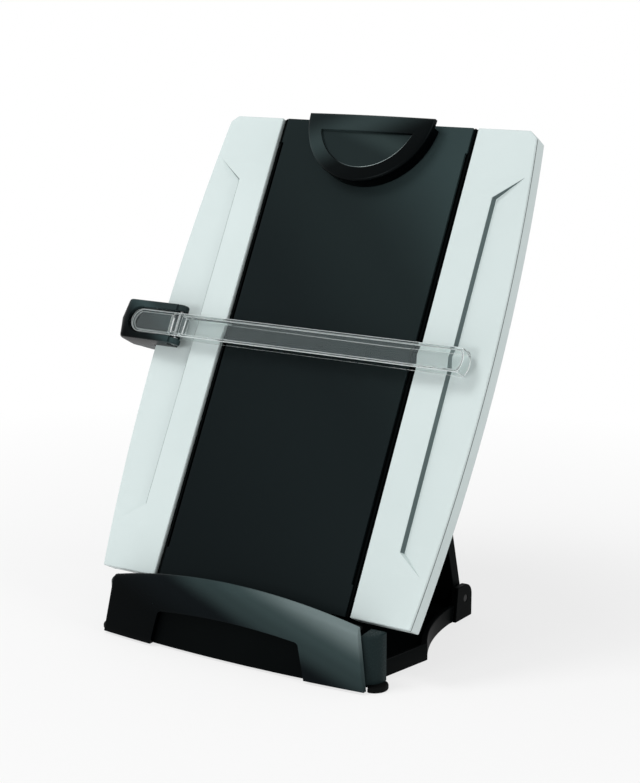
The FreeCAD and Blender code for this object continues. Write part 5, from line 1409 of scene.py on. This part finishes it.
def floor_finish():
    """Pale floor: more of its own shaded surface near the object, plain white further out."""
    material, nodes, links, shader = new_material("pale_floor")
    shader.inputs["Base Color"].default_value = FLOOR_GREY
    shader.inputs["Roughness"].default_value = FLOOR_ROUGH
    shader.inputs["Specular IOR Level"].default_value = 0.0
    glow = nodes.new("ShaderNodeEmission")
    glow.inputs["Color"].default_value = WHITE
    mix = nodes.new("ShaderNodeMixShader")
    links.new(white_share(nodes, links), mix.inputs["Fac"])
    links.new(shader.outputs["BSDF"], mix.inputs[1])
    links.new(glow.outputs["Emission"], mix.inputs[2])
    links.new(mix.outputs["Shader"], nodes["Material Output"].inputs["Surface"])
    return material


floor_corners = np.array([[-1, -1, 0], [1, -1, 0], [1, 1, 0], [-1, 1, 0]], float)
floor = mesh_piece("floor", floor_corners * FLOOR_SIZE / 2, [[0, 1, 2, 3]])
floor.data.materials.append(floor_finish())
print("floor:", FLOOR_SIZE, "m wide")

# %% [markdown]
# ## Background
# The world is the same white as the far floor to every ray that is seen directly, and a dimmer
# white for soft light, which fills the shadows without burning the wings.

# %% World
DIM_SURROUND = 0.43
world = bpy.data.worlds.new("studio")
bpy.context.scene.world = world
world.use_nodes = True
nodes, links = world.node_tree.nodes, world.node_tree.links
strength = nodes.new("ShaderNodeMapRange")
strength.inputs["To Min"].default_value = DIM_SURROUND
strength.inputs["To Max"].default_value = 1.0
links.new(seen_directly(nodes, links), strength.inputs["Value"])
nodes["Background"].inputs["Color"].default_value = WHITE
links.new(strength.outputs["Result"], nodes["Background"].inputs["Strength"])
print("surround:", DIM_SURROUND, "of white for soft light")

# %% [markdown]
# ## Lamps
# Three soft boxes shape the object. The key hangs high on the left and throws the clip's shadow to
# the right. A side lamp keeps the board's right edge pale, and a small card in front lifts the
# black base. The lamps are left out of what is seen through the bar, and the key also out of
# reflections, because its shape would show as a hard patch.

# %% Lamps
AIM = (0, 0.05, 0.18)
LAMP_LIFT = 0.1
# Each lamp: where it stands round the object, its size in metres and its power in watts.
LAMPS = {
    "key": ((-48, 58, 1.9), 0.7, 14.5),
    "side": ((88, 24, 1.7), 0.7, 6),
    "front_card": ((-12, 14, 1.8), 0.5, 8),
}


def round_the_object(azimuth, elevation, distance):
    """A place seen from the object: degrees round from the front, degrees up, and metres off."""
    turn, lift = math.radians(azimuth), math.radians(elevation)
    flat = distance * math.cos(lift)
    return (flat * math.sin(turn), -flat * math.cos(turn), distance * math.sin(lift) + LAMP_LIFT)


def soft_lamp(name, place, size, power):
    """A square soft box at a place, turned to the object."""
    light = bpy.data.lights.new(name, "AREA")
    light.size = size
    light.energy = power
    lamp = bpy.data.objects.new(name, light)
    lamp.location = place
    lamp.rotation_euler = (Vector(AIM) - Vector(place)).to_track_quat("-Z", "Y").to_euler()
    lamp.visible_transmission = False
    bpy.context.scene.collection.objects.link(lamp)
    return lamp


lamps = {name: soft_lamp(name, round_the_object(*place), size, power)
         for name, (place, size, power) in LAMPS.items()}
lamps["key"].visible_glossy = False
bpy.context.scene.view_settings.view_transform = "Standard"
print("lamps:", ", ".join(lamps))
